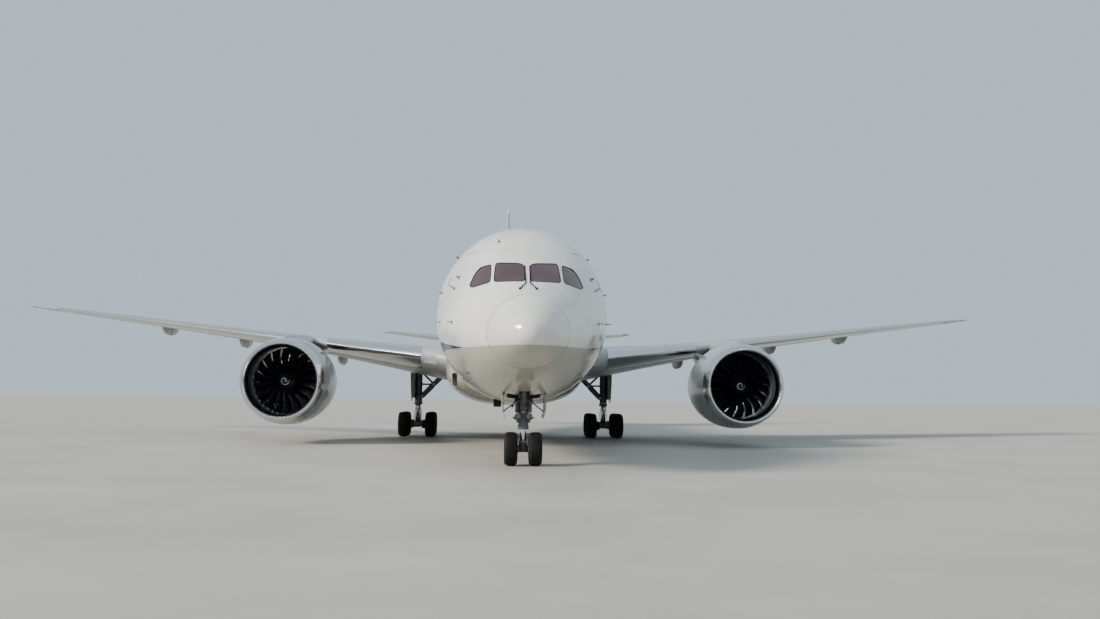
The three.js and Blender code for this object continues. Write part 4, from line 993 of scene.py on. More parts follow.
# x, leading edge station, chord, leading edge height, incidence in degrees, thickness in chords
WING = np.array([
    [1.8, 17.77, 12.5, 3.53, 3.4, 0.13], [3.0, 18.6, 11.6, 3.71, 3.4, 0.128],
    [6.5, 21.03, 9.32, 4.19, 2.9, 0.115], [10.2, 23.6, 6.9, 4.71, 2.2, 0.105],
    [15.0, 26.78, 5.72, 5.37, 1.5, 0.1], [20.5, 30.42, 4.38, 6.13, 0.9, 0.097],
    [26.3, 34.27, 2.96, 6.93, 0.3, 0.095], [28.3, 36.06, 1.85, 7.2, 0, 0.095],
    [29.5, 37.5, 1.08, 7.37, 0, 0.095], [30.06, 38.42, 0.48, 7.45, 0, 0.095],
])
STABILISER = np.array([
    [0.5, 47.1, 6.2, 6.02, 0, 0.1], [1.5, 47.9, 5.62, 6.15, 0, 0.1], [5.4, 51.06, 4.04, 6.66, 0, 0.095],
    [9.3, 54.22, 2.5, 7.18, 0, 0.09], [9.905, 55.05, 1.43, 7.26, 0, 0.09],
])
# height, leading edge station, chord, thickness
FIN = np.array([
    [7.3, 41.2, 10.7, 0.075], [8.15, 43.3, 8.9, 0.085], [9.3, 45.05, 7.44, 0.1], [12.0, 47.66, 5.64, 0.1],
    [14.8, 50.36, 3.78, 0.1], [16.5, 52.0, 2.65, 0.095], [16.92, 52.8, 1.95, 0.09],
])
FOIL_STEPS = 26
WING_CAMBER = 0.012
TRAILING_EDGE = 0.0022
# Places where the wing, the stabiliser and the fin begin to bend to their tips
WING_BEND, STABILISER_BEND, FIN_BEND = 26.3, 9.3, 16.5
FAR = 9.0  # reach of a cutter that goes past whatever it cuts


def foil_half(x, thickness):
    """Half thickness of the aerofoil at a share of the chord."""
    bend = 0.2969 * sqrt(x) - 0.126 * x - 0.3516 * x**2 + 0.2843 * x**3 - 0.1036 * x**4
    return 5 * thickness * bend + TRAILING_EDGE * x


def mean_line(share, camber):
    """Height of the section's middle, in chords."""
    return camber * 4 * share * (1 - share)


def foil(thickness, camber):
    """Points (share of chord, height in chords) from the upper trailing edge to the lower."""
    shares = [(1 - cos(pi * i / FOIL_STEPS)) / 2 for i in range(FOIL_STEPS + 1)]
    upper, lower = (
        [(x, mean_line(x, camber) + sign * foil_half(x, thickness)) for x in shares]
        for sign in (1, -1)
    )
    return upper[::-1] + lower[1:]


def wing_point(row, share, up):
    """A point of a section at a share of its chord and a height in chords."""
    x, leading, chord, height, incidence, _ = row
    tilt = radians(incidence)
    return Vector((
        x,
        leading + chord * (share * cos(tilt) + up * sin(tilt)),
        height + chord * (up * cos(tilt) - share * sin(tilt)),
    ))


def between(table, place):
    """A row of a table at a place between its rows."""
    after = max(1, int(np.searchsorted(table[:, 0], place)))
    t = (place - table[after - 1, 0]) / (table[after, 0] - table[after - 1, 0])
    return table[after - 1] * (1 - t) + table[after] * t


def rows_with_tip(table, tip_from, steps=12):
    """The table's rows, straight up to tip_from and bending smoothly to the tip."""
    inner = table[table[:, 0] < tip_from]
    at = np.linspace(tip_from, table[-1, 0], steps)
    outer = np.column_stack([at, monotone(table[:, 0], table[:, 1:], at)])
    return np.vstack([inner, outer])


def inward(point, row, share, camber, shrink):
    """A point of a section moved towards its mean line, but never on to it."""
    middle = wing_point(row, share, mean_line(share, camber))
    out = point - middle
    if out.length < 1e-6:
        return point + Vector((0, shrink, 0))
    return middle + out * max(0.2, 1 - shrink / out.length)


def wing_like(table, camber, tip_from, shrink=0.0):
    """A wing as a solid; shrink takes a margin off all round its sections."""
    rings = []
    for row in rows_with_tip(table, tip_from):
        section = foil(row[5], camber)
        ring = [wing_point(row, share, up) for share, up in section]
        if shrink:
            ring = [inward(p, row, share, camber, shrink) for p, (share, _) in zip(ring, section)]
        rings.append(ring)
    return loft(rings)


def fin_solid():
    rings = []
    for height, leading, chord, thickness in rows_with_tip(FIN, FIN_BEND):
        rings.append([
            Vector((out * chord, leading + share * chord, height))
            for share, out in foil(thickness, 0)
        ])
    return loft(rings)


NOSE_SIDES, PAST_ENDS = 48, 0.4
NOSE_SHARE = 1.06  # radius of a hinged surface's nose, in half thicknesses of the section
RIB_HALF, RIB_DEPTH = 0.07, 0.08
RIBS = (0.12, 0.88)  # shares of the hinge line


def split_hinged(whole, line, ends):
    """Splits a hinged surface off: a round nose in a cove, carried by flat-faced ribs."""
    (start, start_radius), (end, end_radius) = line
    place = frame_from(start, end)
    length = (end - start).length

    def radius_at(along):
        return start_radius + (end_radius - start_radius) * along / length

    def bar(margin):
        """A tapered bar round the hinge line, past both its ends."""
        reach = (-PAST_ENDS, length + PAST_ENDS)
        return lathe([(a, radius_at(a) + margin) for a in reach], place, NOSE_SIDES)

    behind = block((-FAR, 0, -FAR), (2 * FAR, FAR, FAR), place)
    form = joined(behind, bar(0))
    space = joined(behind, bar(1.6 * CLEAR))
    moving = common(common(whole, ends(place, length, 0)), form)
    opened = carved(whole, common(ends(place, length, CLEAR), space))
    ribs = []
    for share in RIBS:
        along = share * length
        front = radius_at(along - RIB_HALF)
        low = (along - RIB_HALF, -front - RIB_DEPTH, -0.55 * front)
        ribs.append(block(low, (along + RIB_HALF, -front - 0.002, 0.55 * front), place))
    return opened, moving, together(*ribs)


def square_ends(place, length, margin):
    return block((-margin, -FAR, -FAR), (length + margin, FAR, FAR), place)


def wing_hinge(table, camber, place, share):
    """A point of a hinge line, on the section's middle, and the nose's radius there."""
    row = between(table, place)
    radius = NOSE_SHARE * foil_half(share, row[5]) * row[2]
    return wing_point(row, share, mean_line(share, camber)), radius


AILERON = ((20.436, 0.74), (26.1, 0.74))
FLAPERON = ((9.56, 0.78), (11.222, 0.8074))
ELEVATOR = ((2.35, 0.7), (9.2, 0.7))
RUDDER = ((8.45, 0.69), (16.9, 0.69))
RUDDER_FOOT_GAP = 0.07
FLAPERON_GAP = 0.045
# name, ends along the span, shares of the chord at the lower and upper skin, fairings, outline scale
FLAPS = (
    ("flap_inboard", 3.65, 9.48, 0.8, 0.86, ((9.05, 1.0),)),
    ("flap_outboard", 11.42, 20.42, 0.74, 0.82, ((14.7, 0.9), (19.6, 0.9))),
)
TRACK_DEPTH, TRACK_HALF_WIDTH = 0.39, 0.21
PIVOT_AHEAD, PIVOT_RADIUS, PIVOT_GAP = 0.15, 0.045, 0.024
FACE_GAP, PAST_FLAP = 0.024, 2.5


def flap_face(flap, place):
    """The straight front face of a flap at a place along the span, and the pivot under it."""
    _, start, end, low, high, _ = flap

    def skin(at, share, sign):
        row = between(WING, at)
        return wing_point(row, share, mean_line(share, WING_CAMBER) + sign * foil_half(share, row[5]))

    t = (place - start) / (end - start)
    bottom = skin(start, low, -1).lerp(skin(end, low, -1), t)
    top = skin(start, high, 1).lerp(skin(end, high, 1), t)
    return bottom, top, bottom + Vector((0, -PIVOT_AHEAD, -TRACK_DEPTH))


def flap_frame(flap):
    start, end = flap_face(flap, flap[1])[0], flap_face(flap, flap[2])[0]
    return frame_from(start, end), (end - start).length


def flap_cutter(flap, face_gap=0.0, end_gap=0.0):
    """The space that a flap takes up, with square ends and a slanted front face."""
    rings = []
    for place in (flap[1] - PAST_FLAP, flap[2] + PAST_FLAP):
        bottom, top, _ = flap_face(flap, place)
        step = top - bottom
        low = Vector((bottom.x, bottom.y - 2 * step.y - face_gap, bottom.z - 2 * step.z))
        high = Vector((top.x, top.y + 2 * step.y - face_gap, top.z + 2 * step.z))
        back = Vector((0, FAR, 0))
        rings.append([low, high, high + back, low + back])
    place, length = flap_frame(flap)
    return common(loft(rings), square_ends(place, length, end_gap))


def flaperon_ends(place, length, margin):
    """The inner end lies beside the inboard flap's end, and the outer end is square."""
    inboard, inboard_length = flap_frame(FLAPS[0])
    inner = inboard_length + (0 if margin > 0 else FLAPERON_GAP)
    outer = block((-FAR, -FAR, -FAR), (length + margin, FAR, FAR), place)
    return common(outer, block((inner, -FAR, -FAR), (2 * FAR, FAR, FAR), inboard))


def rudder_ends(place, length, margin):
    foot = RUDDER[0][0] - (RUDDER_FOOT_GAP if margin > 0 else 0)
    return block((-FAR, 0, foot), (FAR, 66, 26))


# A flap track fairing: station offset from the pivot, half width share, depth share
TRACK_FORM = np.array([
    [-1.5, 0.1, 0.1], [-1.15, 0.55, 0.5], [-0.6, 0.9, 0.9], [0, 1, 1], [0.7, 0.85, 0.9],
    [1.3, 0.5, 0.62], [1.75, 0.12, 0.35],
])
TRACK_POWER = 0.75


def track_fairing(flap, place, size):
    """A canoe under the wing, smooth and round below."""
    pivot = flap_face(flap, place)[2]
    depth = TRACK_DEPTH + PIVOT_RADIUS
    top = pivot.z + depth
    offsets = np.linspace(TRACK_FORM[0, 0], TRACK_FORM[-1, 0], 30)
    shape = monotone(TRACK_FORM[:, 0], TRACK_FORM[:, 1:], offsets)
    rings = []
    for offset, (width, share) in zip(offsets, shape):
        half = TRACK_HALF_WIDTH * width * size
        fall = PIVOT_RADIUS + depth * share
        ring = [(half, top + 0.06), (-half, top + 0.06)]
        for k in range(17):
            a = pi * k / 16
            x, down = (squared(v, TRACK_POWER) for v in (-cos(a), sin(a)))
            ring.append((half * x, top - fall * down))
        rings.append([Vector((pivot.x + x, pivot.y + offset * size, z)) for x, z in ring])
    return loft(rings)


def flap_track(flap, place, size):
    """A track fairing parted at its pivot: the boss is the flap's, the lug is the wing's."""
    turn = flap_frame(flap)[0].copy()
    turn.translation = flap_face(flap, place)[2]
    canoe = track_fairing(flap, place, size)
    half, r = 0.5 * TRACK_HALF_WIDTH * size, PIVOT_RADIUS
    behind = block((-FAR, PIVOT_GAP, -FAR), (FAR, FAR, FAR), turn)
    ahead = block((-FAR, -FAR, -FAR), (FAR, -PIVOT_GAP, FAR), turn)
    boss = lathe([(-half, r), (half, r)], turn, 32)
    strap = block((-half, 0, -0.7 * r), (half, 3 * r, 0.7 * r), turn)
    lug = block((-half, -5 * r, -0.5 * r), (half, -r - 0.002, 0.5 * r), turn)
    hole = lathe([(-FAR, r + 1.3 * CLEAR), (FAR, r + 1.3 * CLEAR)], turn, 32)
    moving = common(common(canoe, behind), flap_cutter(flap))
    fixed = carved(common(canoe, ahead), hole)
    return joined(moving, boss, strap), joined(fixed, lug)


# Slats: name, ends along the span, share of the chord that they cover, places of their splits
SLATS = (
    ("slat_inboard", 4.2, 8.9, 0.1, ()),
    ("slat_outboard", 10.7, 26.6, 0.14, (13.9, 17.1, 20.3, 23.5)),
)
SLAT_GAP, SPLIT_HALF = 0.009, 0.006
# Lamps behind glass in the leading edge: name, ends along the span, share of the chord
WING_LAMPS = (("landing_lamp", 3.5, 4.12, 0.018), ("tip_lamp", 28.55, 29.1, 0.12))
LANDING_LAMPS = (3.66, 3.95)
TIP_LENS = {"left": RED_LENS, "right": GREEN_LENS}
# Spoilers: ends along the span, shares of the chord
SPOILERS = (
    (4.0, 5.7, 0.74, 0.86), (5.75, 7.5, 0.74, 0.86), (7.55, 9.3, 0.74, 0.86),
    (11.6, 13.6, 0.69, 0.82), (13.65, 15.7, 0.69, 0.82), (15.75, 17.8, 0.69, 0.82),
    (17.85, 19.9, 0.69, 0.82),
)
# Oval access panels under the wing: first place, pitch, count, share of the chord, half size
ACCESS_FROM, ACCESS_PITCH, ACCESS_PANELS = 4.6, 1.35, 16
ACCESS_SHARE, ACCESS_HALF = 0.42, (0.2, 0.32)
SEAMS, SEAM_FROM, SEAM_TO, SEAM_HALF = (0.2, 0.62), 3.6, 26.2, 0.006


def ahead_of(table, places, share, margin=0.0):
    """The space ahead of a share of the chord, at places along a wing."""
    rings = []
    for at in places:
        p = wing_point(between(table, at), share, 0)
        rings.append([
            Vector((at, p.y + y, p.z + z))
            for z, y in ((-FAR, -FAR), (FAR, -FAR), (FAR, margin), (-FAR, margin))
        ])
    return loft(rings)


def edge_space(start, end, share, margin=0.0):
    """The space that a piece of the wing's leading edge takes up."""
    return ahead_of(WING, (start - margin, end + margin), share, margin)


def plan_outline(start, end, front, back):
    """The outline of a panel on a wing, as points in x and station."""
    corners = [(start, front), (end, front), (end, back), (start, back)]
    return [tuple(wing_point(between(WING, at), share, 0)[:2]) for at, share in corners]


def wing_solid(shrink=0.0):
    return wing_like(WING, WING_CAMBER, WING_BEND, shrink)


def part_hinged(fixed):
    """Makes the aileron and the flaperon, and returns the wing without them."""
    ribs = []
    for name, line, ends in (("aileron", AILERON, square_ends), ("flaperon", FLAPERON, flaperon_ends)):
        hinge = [wing_hinge(WING, WING_CAMBER, at, share) for at, share in line]
        fixed, moving, carriers = split_hinged(fixed, hinge, ends)
        ribs.append(carriers)
        pair(f"{name}_skin", moving, WING_PAINT, "wing_grey_paint", (name,), body=name)
    pair("hinge_ribs", together(*ribs), BARE_ALUMINIUM)
    return fixed


def part_flaps(fixed):
    """Makes the flaps with their track fairings, and returns the wing without them."""
    canoes = []
    for flap in FLAPS:
        moving = common(fixed, flap_cutter(flap))
        fixed = carved(fixed, flap_cutter(flap, FACE_GAP, CLEAR))
        tracks = [flap_track(flap, at, size) for at, size in flap[5]]
        moving = joined(moving, *[m for m, _ in tracks])
        canoes += [f for _, f in tracks]
        pair(f"{flap[0]}_skin", moving, WING_PAINT, "wing_grey_paint", (flap[0],), body=flap[0])
    pair("flap_track_fairings", together(*canoes), WING_PAINT, "wing_grey_paint")
    return fixed


def part_slats(fixed):
    """Makes the slats, and returns the wing without them."""
    for name, start, end, share, splits in SLATS:
        slat = common(fixed, edge_space(start, end, share))
        fixed = carved(fixed, edge_space(start, end, share, SLAT_GAP))
        cuts = []
        for at in splits:
            p = wing_point(between(WING, at), 0, 0)
            low, high = (at - SPLIT_HALF, p.y - 2, p.z - 2), (at + SPLIT_HALF, p.y + 3, p.z + 2)
            cuts.append(block(low, high))
        if cuts:
            slat = carved(slat, carved(together(*cuts), wing_solid(0.012)))
        pair(f"{name}_skin", slat, BARE_ALUMINIUM, "bare_leading_edge", (name,))
    return fixed


def make_wing_lamps(fixed):
    """Makes the lamps in the leading edge, and returns the wing without their covers."""
    hollow = wing_solid(0.014)
    for name, start, end, share in WING_LAMPS:
        cover = carved(common(fixed, edge_space(start, end, share)), hollow)
        fixed = carved(fixed, edge_space(start, end, share, 0.006))
        pair(f"{name}_cover", cover, COVER_GLASS)
    lamps = []
    for at in LANDING_LAMPS:
        edge = wing_point(between(WING, at), 0, 0)
        lamps.append(lamp(edge + Vector((0, 0.19, -0.02)), 0.105))
    pair("landing_lamp_bowls", together(*[bowl for bowl, _ in lamps]), BARE_ALUMINIUM)
    pair("landing_lamp_lenses", together(*[lens for _, lens in lamps]), LAMP_GLASS)
    start, end = (wing_point(between(WING, at), 0.045, 0) for at in (28.65, 29.0))
    bulb = rod(start, end, 0.028, sides=20, bevel=0.006)
    for side, sign in SIDES:
        piece(f"tip_lamp_{side}", bulb if sign > 0 else mirrored(bulb), TIP_LENS[side])
    return fixed


def wing_grooves():
    """Cutters for the spoilers' and access panels' outlines, and for the seams along the span."""
    panels = [rim_prism(plan_outline(*s), 0.016, 2, between(WING, s[0])[3], FAR) for s in SPOILERS]
    w, h = ACCESS_HALF
    for k in range(ACCESS_PANELS):
        p = wing_point(between(WING, ACCESS_FROM + k * ACCESS_PITCH), ACCESS_SHARE, 0)
        oval = rounded_box((p.x - w, p.y - h), (p.x + w, p.y + h), 0.2, 6)
        panels.append(rim_prism(oval, 0.012, 2, p.z - 3, p.z))
    seams = []
    for share in SEAMS:
        a, b = (wing_point(between(WING, at), share, 0) for at in (SEAM_FROM, SEAM_TO))
        low, high = (0, -SEAM_HALF, -1.5), ((b - a).length, SEAM_HALF, 1.5)
        seams.append(block(low, high, frame_from(a, b)))
    core = wing_solid(0.01)
    return carved(together(*panels), core), carved(together(*seams), core)


def make_wings():
    whole = wing_solid()
    fixed = part_slats(part_flaps(part_hinged(whole)))
    fixed = carved(make_wing_lamps(fixed), *wing_grooves())
    pair("wing_skin", fixed, WING_PAINT, "wing_grey_paint", ("wing",))
    return whole


def make_stabilisers():
    whole = wing_like(STABILISER, 0, STABILISER_BEND)
    hinge = [wing_hinge(STABILISER, 0, at, share) for at, share in ELEVATOR]
    fixed, moving, ribs = split_hinged(whole, hinge, square_ends)
    front = ahead_of(STABILISER, (2.6, 5.4, STABILISER_BEND), 0.09)
    cap = common(fixed, front)
    pair("stabiliser_skin", carved(fixed, front), WING_PAINT, "wing_grey_paint", ("stabiliser",))
    pair("stabiliser_leading_edge", cap, BARE_ALUMINIUM, "bare_leading_edge")
    pair("elevator_skin", moving, WING_PAINT, "wing_grey_paint", ("elevator",), body="elevator")
    pair("elevator_hinge_ribs", ribs, BARE_ALUMINIUM)


def fin_point(height, share):
    """A point on the fin's middle plane, and the fin's half thickness there."""
    _, leading, chord, thickness = between(FIN, height)
    return Vector((0, leading + share * chord, height)), foil_half(share, thickness) * chord


def make_fin():
    line = [(point, NOSE_SHARE * half) for point, half in (fin_point(*at) for at in RUDDER)]
    fixed, moving, ribs = split_hinged(fin_solid(), line, rudder_ends)
    rings = []
    for height in (9.3, 12.0, 14.8, FIN_BEND):
        station = fin_point(height, 0.07)[0].y
        rings.append([(x, station + y, height) for x, y in ((-2, -4), (2, -4), (2, 0), (-2, 0))])
    front = loft(rings)
    cap = common(fixed, front)
    piece("fin_skin", carved(fixed, front), BODY_PAINT, "white_paint", ("fin",))
    piece("fin_leading_edge", cap, BARE_ALUMINIUM, "bare_leading_edge")
    piece("rudder_skin", moving, BODY_PAINT, "white_paint", ("rudder",), body="rudder")
    piece("rudder_hinge_ribs", ribs, BARE_ALUMINIUM)


WING_WHOLE = make_wings()
make_stabilisers()
make_fin()

# Engines. Profiles are (station offset from the fan, radius)

ENGINE_X, ENGINE_Z, FAN_STATION = 9.85, 2.68, 18.25
COWL_OUTSIDE = np.array([[-0.82, 1.76], [-0.1, 1.865], [1.0, 1.89], [2.35, 1.79], [4.05, 1.475]])
COWL_INSIDE = np.array([[-0.82, 1.415], [-0.3, 1.436], [0.6, 1.445], [2.6, 1.535], [4.05, 1.452]])
COWL_JOINTS, LIP_GAP = (0.62, 2.05), 0.003
LIP = [
    (-0.82, 1.415), (-1.0, 1.424), (-1.15, 1.45), (-1.27, 1.495), (-1.325, 1.55),
    (-1.325, 1.605), (-1.26, 1.66), (-1.12, 1.705), (-0.97, 1.735), (-0.82, 1.76),
]
CORE_FRONT = [(0.3007, 0.0), (0.3007, 0.2), (0.38, 0.2)]
CORE_COWL = np.array([[0.38, 0.56], [0.8, 0.74], [1.4, 0.92], [2.7, 1.01], [4.05, 0.93], [5.75, 0.6]])
NOZZLE_INSIDE = [(5.745, 0.585), (5.15, 0.55)]
PLUG = np.array([[5.15, 0.4], [5.5, 0.38], [5.9, 0.33], [6.4, 0.2], [6.9, 0.0]])
TEETH, TOOTH_DEPTH, TEETH_FROM = 14, 0.42, 3.2
COWL_SIDES = 112
GUIDE_VANES, VANE_MIDDLE, VANE_HALF = 40, 1.2, (0.19, 0.011)
VANE_RADII, VANE_LEAN = (0.7, 1.1, 1.5), 0.25
FAN_BLADES = 18
BLADE_MIDDLE = 0.1
# Fan blade sections: radius, chord, stagger from the axis in degrees, sweep back, thickness
BLADE = np.array([
    [0.4, 0.42, 28, 0.0, 0.034], [0.86, 0.49, 44, -0.03, 0.022], [1.408, 0.52, 62, 0.09, 0.01],
])
BLADE_ROWS, BLADE_SIDES = 12, 16
BLADE_FRONT = slice(6, 11)  # a blade section's points that the metal edge wraps
CONE = [
    (-0.43, 0.0), (-0.42, 0.035), (-0.39, 0.085), (-0.3, 0.19), (-0.18, 0.295), (-0.09, 0.36),
    (0.0, 0.42), (0.3, 0.48),
]
BLADE_BOW = 0.11  # how far a blade bows round the fan at its middle, in radians
# Nacelle strake: offset from the fan, radius at its foot and tip
STRAKE = ((0.1, 1.85, 1.88), (0.5, 1.85, 2.0), (1.0, 1.83, 2.13), (1.45, 1.8, 2.19), (1.56, 1.8, 2.08))
STRAKE_ANGLE = radians(48)
# Pylon: station, half width, top, bottom
PYLON = np.array([
    [17.9, 0.04, 4.59, 4.3], [18.9, 0.17, 4.69, 4.0], [20.6, 0.235, 4.81, 3.5], [22.4, 0.265, 4.89, 3.3],
    [24.2, 0.265, 4.9, 3.33], [26.6, 0.22, 4.75, 3.75], [28.4, 0.06, 4.65, 4.22],
])
PYLON_POWERS = (0.55, 0.8)


def engine_frame(x):
    """Along the aircraft from the fan's plane, then across, then up."""
    return frame_from((x, FAN_STATION, ENGINE_Z), (x, FAN_STATION + 1, ENGINE_Z), (1, 0, 0))


def smooth_profile(table, count):
    """A profile's points at even steps along a table of (along, radius)."""
    at = np.linspace(table[0, 0], table[-1, 0], count)
    return [(a, float(r)) for a, r in zip(at, monotone(table[:, 0], table[:, 1:], at)[:, 0])]


def toothed_ring(outside, inside, place):
    """A cowl whose trailing edge runs in and out in rounded teeth."""
    start, end = outside[0, 0], outside[-1, 0]
    rows = [(a, 0.0) for a in off_edges(np.linspace(start, end, 40), COWL_JOINTS, 0.03)]
    for g in COWL_JOINTS:
        rows += [(g - 0.008, 0.0), (g - 0.0075, -0.012), (g + 0.0075, -0.012), (g + 0.008, 0.0)]
    rows.sort()
    radii = monotone(outside[:, 0], outside[:, 1:], [a for a, _ in rows])[:, 0]
    outer = [(a, float(r) + depth) for (a, depth), r in zip(rows, radii)]
    rings = []
    for along, radius in outer + smooth_profile(inside, 32)[::-1]:
        share = max(0.0, (along - TEETH_FROM) / (end - TEETH_FROM))
        ring = []
        for k, a in enumerate(turns(COWL_SIDES)):
            phase = k * TEETH / COWL_SIDES % 1
            notch = 1 - abs(2 * phase - 1)  # 0 at a tooth's tip, 1 between teeth
            notch = 1 - (1 - notch**1.25) ** 1.1
            back = along - TOOTH_DEPTH * notch * share**1.3
            ring.append(place @ around(back, radius, a))
        rings.append(ring)
    return loft(rings, loop=True)


def fan_blade(turn):
    """One swept, twisted blade from the hub to its tip."""
    radii = np.linspace(BLADE[0, 0], BLADE[-1, 0], BLADE_ROWS)
    shape = monotone(BLADE[:, 0], BLADE[:, 1:], radii)
    rings = []
    for row, (radius, (chord, stagger, sweep, thick)) in enumerate(zip(radii, shape)):
        lean = radians(stagger)
        bowed = turn + BLADE_BOW * sin(pi * row / (BLADE_ROWS - 1))
        ring = []
        for a in turns(BLADE_SIDES):
            c, side = 0.5 * cos(a), 0.5 * sin(a) * (1 + 0.35 * cos(a))
            bow = 0.035 * (1 - 4 * c * c)  # camber across the chord
            up = side * thick + bow * chord * 0.6
            along = BLADE_MIDDLE + sweep + c * chord * cos(lean) - up * sin(lean)
            angle = bowed + (c * chord * sin(lean) + up * cos(lean)) / radius
            ring.append(around(along, radius, angle))
        rings.append(ring)
    return rings


def make_cowl(side, place):
    """The cowl with its toothed trailing edge, and the polished lip of its inlet."""
    cowl = toothed_ring(COWL_OUTSIDE + (LIP_GAP, 0), COWL_INSIDE + (LIP_GAP, 0), place)
    piece(f"engine_cowl_{side}", cowl, NACELLE_PAINT, "nacelle_grey_paint", (f"cowl_{side}",))
    lip = lathe(LIP, place, COWL_SIDES, loop=True)
    piece(f"polished_lip_{side}", lip, BARE_ALUMINIUM, "bare_leading_edge", (f"inlet_lip_{side}",))


def guide_vane(place, turn):
    """A leaning blade that straightens the flow behind the fan."""
    rings = []
    for radius in VANE_RADII:
        ring = []
        for a in turns(12):
            along, out = VANE_HALF[0] * cos(a), VANE_HALF[1] * sin(a)
            angle = turn + (out + VANE_LEAN * along) / radius
            ring.append(place @ around(VANE_MIDDLE + along, radius, angle))
        rings.append(ring)
    return loft(rings)


def make_core(side, place):
    """The core's cowl with its nozzle and plug, and the guide vanes round its front."""
    profile = CORE_FRONT + smooth_profile(CORE_COWL, 40) + NOZZLE_INSIDE + smooth_profile(PLUG, 24)
    piece(f"core_cowl_{side}", lathe(profile, place, 72), HOT_ALLOY, "hot_section_metal",
          (f"engine_core_{side}",))
    vanes = [guide_vane(place, turn) for turn in turns(GUIDE_VANES)]
    # The vanes' dark grey is painted shade of the deep inlet.
    piece(f"guide_vanes_{side}", together(*vanes), TITANIUM_WITH_PAINTED_SHADE)


def make_fan(side, place):
    """The turning fan: blades with metal edges, and the marked spinner."""
    blades, edges = [], []
    for turn in turns(FAN_BLADES):
        rings = fan_blade(turn)
        blades.append(loft([[place @ p for p in ring] for ring in rings]))
        edge = []
        for ring in rings[1:]:
            front = ring[BLADE_FRONT]
            middle = sum(front, Vector()) / len(front)
            edge.append([place @ (middle + (p - middle) * 1.05) for p in front])
        edges.append(loft(edge))
    fan = f"fan_{side}"
    piece(f"fan_blades_{side}", together(*blades), BLADE_COAT, "fan_composite", (fan,), body=fan)
    # The edges' dark grey is painted shade of the deep inlet.
    piece(f"blade_edges_{side}", together(*edges), TITANIUM_WITH_PAINTED_SHADE, body=fan)
    spinner = lathe([*CONE, (CONE[-1][0], 0.0)], place, 72)
    piece(f"spinner_{side}", spinner, BLADE_COAT, "fan_composite", body=fan)
    piece(f"spinner_mark_{side}", spinner_mark(place), MARK_WHITE, body=fan)


def make_engines():
    for side, sign in SIDES:
        place = engine_frame(sign * ENGINE_X)
        make_cowl(side, place)
        make_core(side, place)
        make_fan(side, place)


def strake(place):
    """A thin curved fin on the cowl's inboard shoulder."""
    out = Vector((0, -sin(STRAKE_ANGLE), -cos(STRAKE_ANGLE)))
    across = Vector((0, cos(STRAKE_ANGLE), -sin(STRAKE_ANGLE)))
    rings = []
    for along, foot, tip in STRAKE:
        rings.append([
            place @ (Vector((along, 0, 0)) + out * radius + across * side)
            for radius, side in ((foot, -0.022), (foot, 0.022), (tip, 0.006), (tip, -0.006))
        ])
    return loft(rings)


def make_nacelle_fittings():
    """Strake, drain mast and the lining of the inlet duct."""
    place = engine_frame(ENGINE_X)
    pair("nacelle_strake", strake(place), NACELLE_PAINT)
    x, s = ENGINE_X, FAN_STATION + 3.0
    down = frame_from((x, s, ENGINE_Z - 1.7), (x, s, ENGINE_Z - 3))
    pair("nacelle_drain", blade(down, 0.16, 0.22, 0.1, 0.02), STEEL)
    barrel = [(-0.8, 1.4095), (-0.32, 1.429), (-0.32, 1.4345), (-0.8, 1.4145)]
    # The lining's dark grey is partly painted shade of the deep inlet.
    pair("duct_lining", lathe(barrel, place, COWL_SIDES, loop=True), DUCT_LINING_WITH_PAINTED_SHADE)


def spinner_mark(place):
    """A comma painted round the spinner, which shows when it turns."""
    along, radius = np.array(CONE).T
    rings = []
    for t in np.linspace(0, 1, 64):
        angle, middle = 0.4 + 7.6 * t, 0.045 + 0.155 * t
        half = 0.005 + 0.011 * sin(pi * t)
        ring = []
        for off, lift in ((-half, 0.0035), (half, 0.0035), (half, -0.01), (-half, -0.01)):
            r = middle + off
            a = float(np.interp(r, radius, along))
            ring.append(place @ around(a - lift, r, angle))
        rings.append(ring)
    return loft(rings)


def make_pylons(wing):
    """The pylons, each cut off where it meets the wing."""
    stations = np.linspace(PYLON[0, 0], PYLON[-1, 0], 44)
    shape = monotone(PYLON[:, 0], PYLON[:, 1:], stations)
    rings = []
    for station, (half, top, bottom) in zip(stations, shape):
        middle, reach = (top + bottom) / 2, (top - bottom) / 2
        ring = []
        for a in turns(28):
            out, up = squared(sin(a), PYLON_POWERS[0]), squared(cos(a), PYLON_POWERS[1])
            ring.append((ENGINE_X + half * out, station, middle + reach * up))
        rings.append(ring)
    pair("pylon_skin", carved(loft(rings), wing), NACELLE_PAINT, "nacelle_grey_paint", ("pylon",))


make_engines()
make_nacelle_fittings()
make_pylons(WING_WHOLE)

# Landing gear


def upright(x, station):
    """A frame on the ground that runs up, then aft."""
    return frame_from((x, station, 0), (x, station, 1), (0, 1, 0))


def axle_frame(x, station, height):
    """A frame that runs outboard to port, then aft, then up."""
    return frame_from((x, station, height), (x + 1, station, height), (0, 1, 0))


def forged(start, end, side, sections, corner=0.4):
    """A forged bar with a rounded oblong section: (share of the length, half size to side, half across)."""
    place = frame_from(start, end, side)
    length = (Vector(end) - Vector(start)).length
    rings = []
    for share, a, b in sections:
        outline = rounded_box((-a, -b), (a, b), corner * min(a, b), 3)
        rings.append([place @ Vector((share * length, p[0], p[1])) for p in outline])
    return loft(rings)


def pin(centre, half, radius, axis=PORT):
    """A round pin through a joint, with a head at each end."""
    centre = Vector(centre)
    heads = []
    for end in (-axis, axis):
        near, far = centre + half * end, centre + (half + 0.4 * radius) * end
        heads.append(rod(near, far, 1.35 * radius, sides=6))
    return together(spindle(centre, half * axis, radius), *heads)


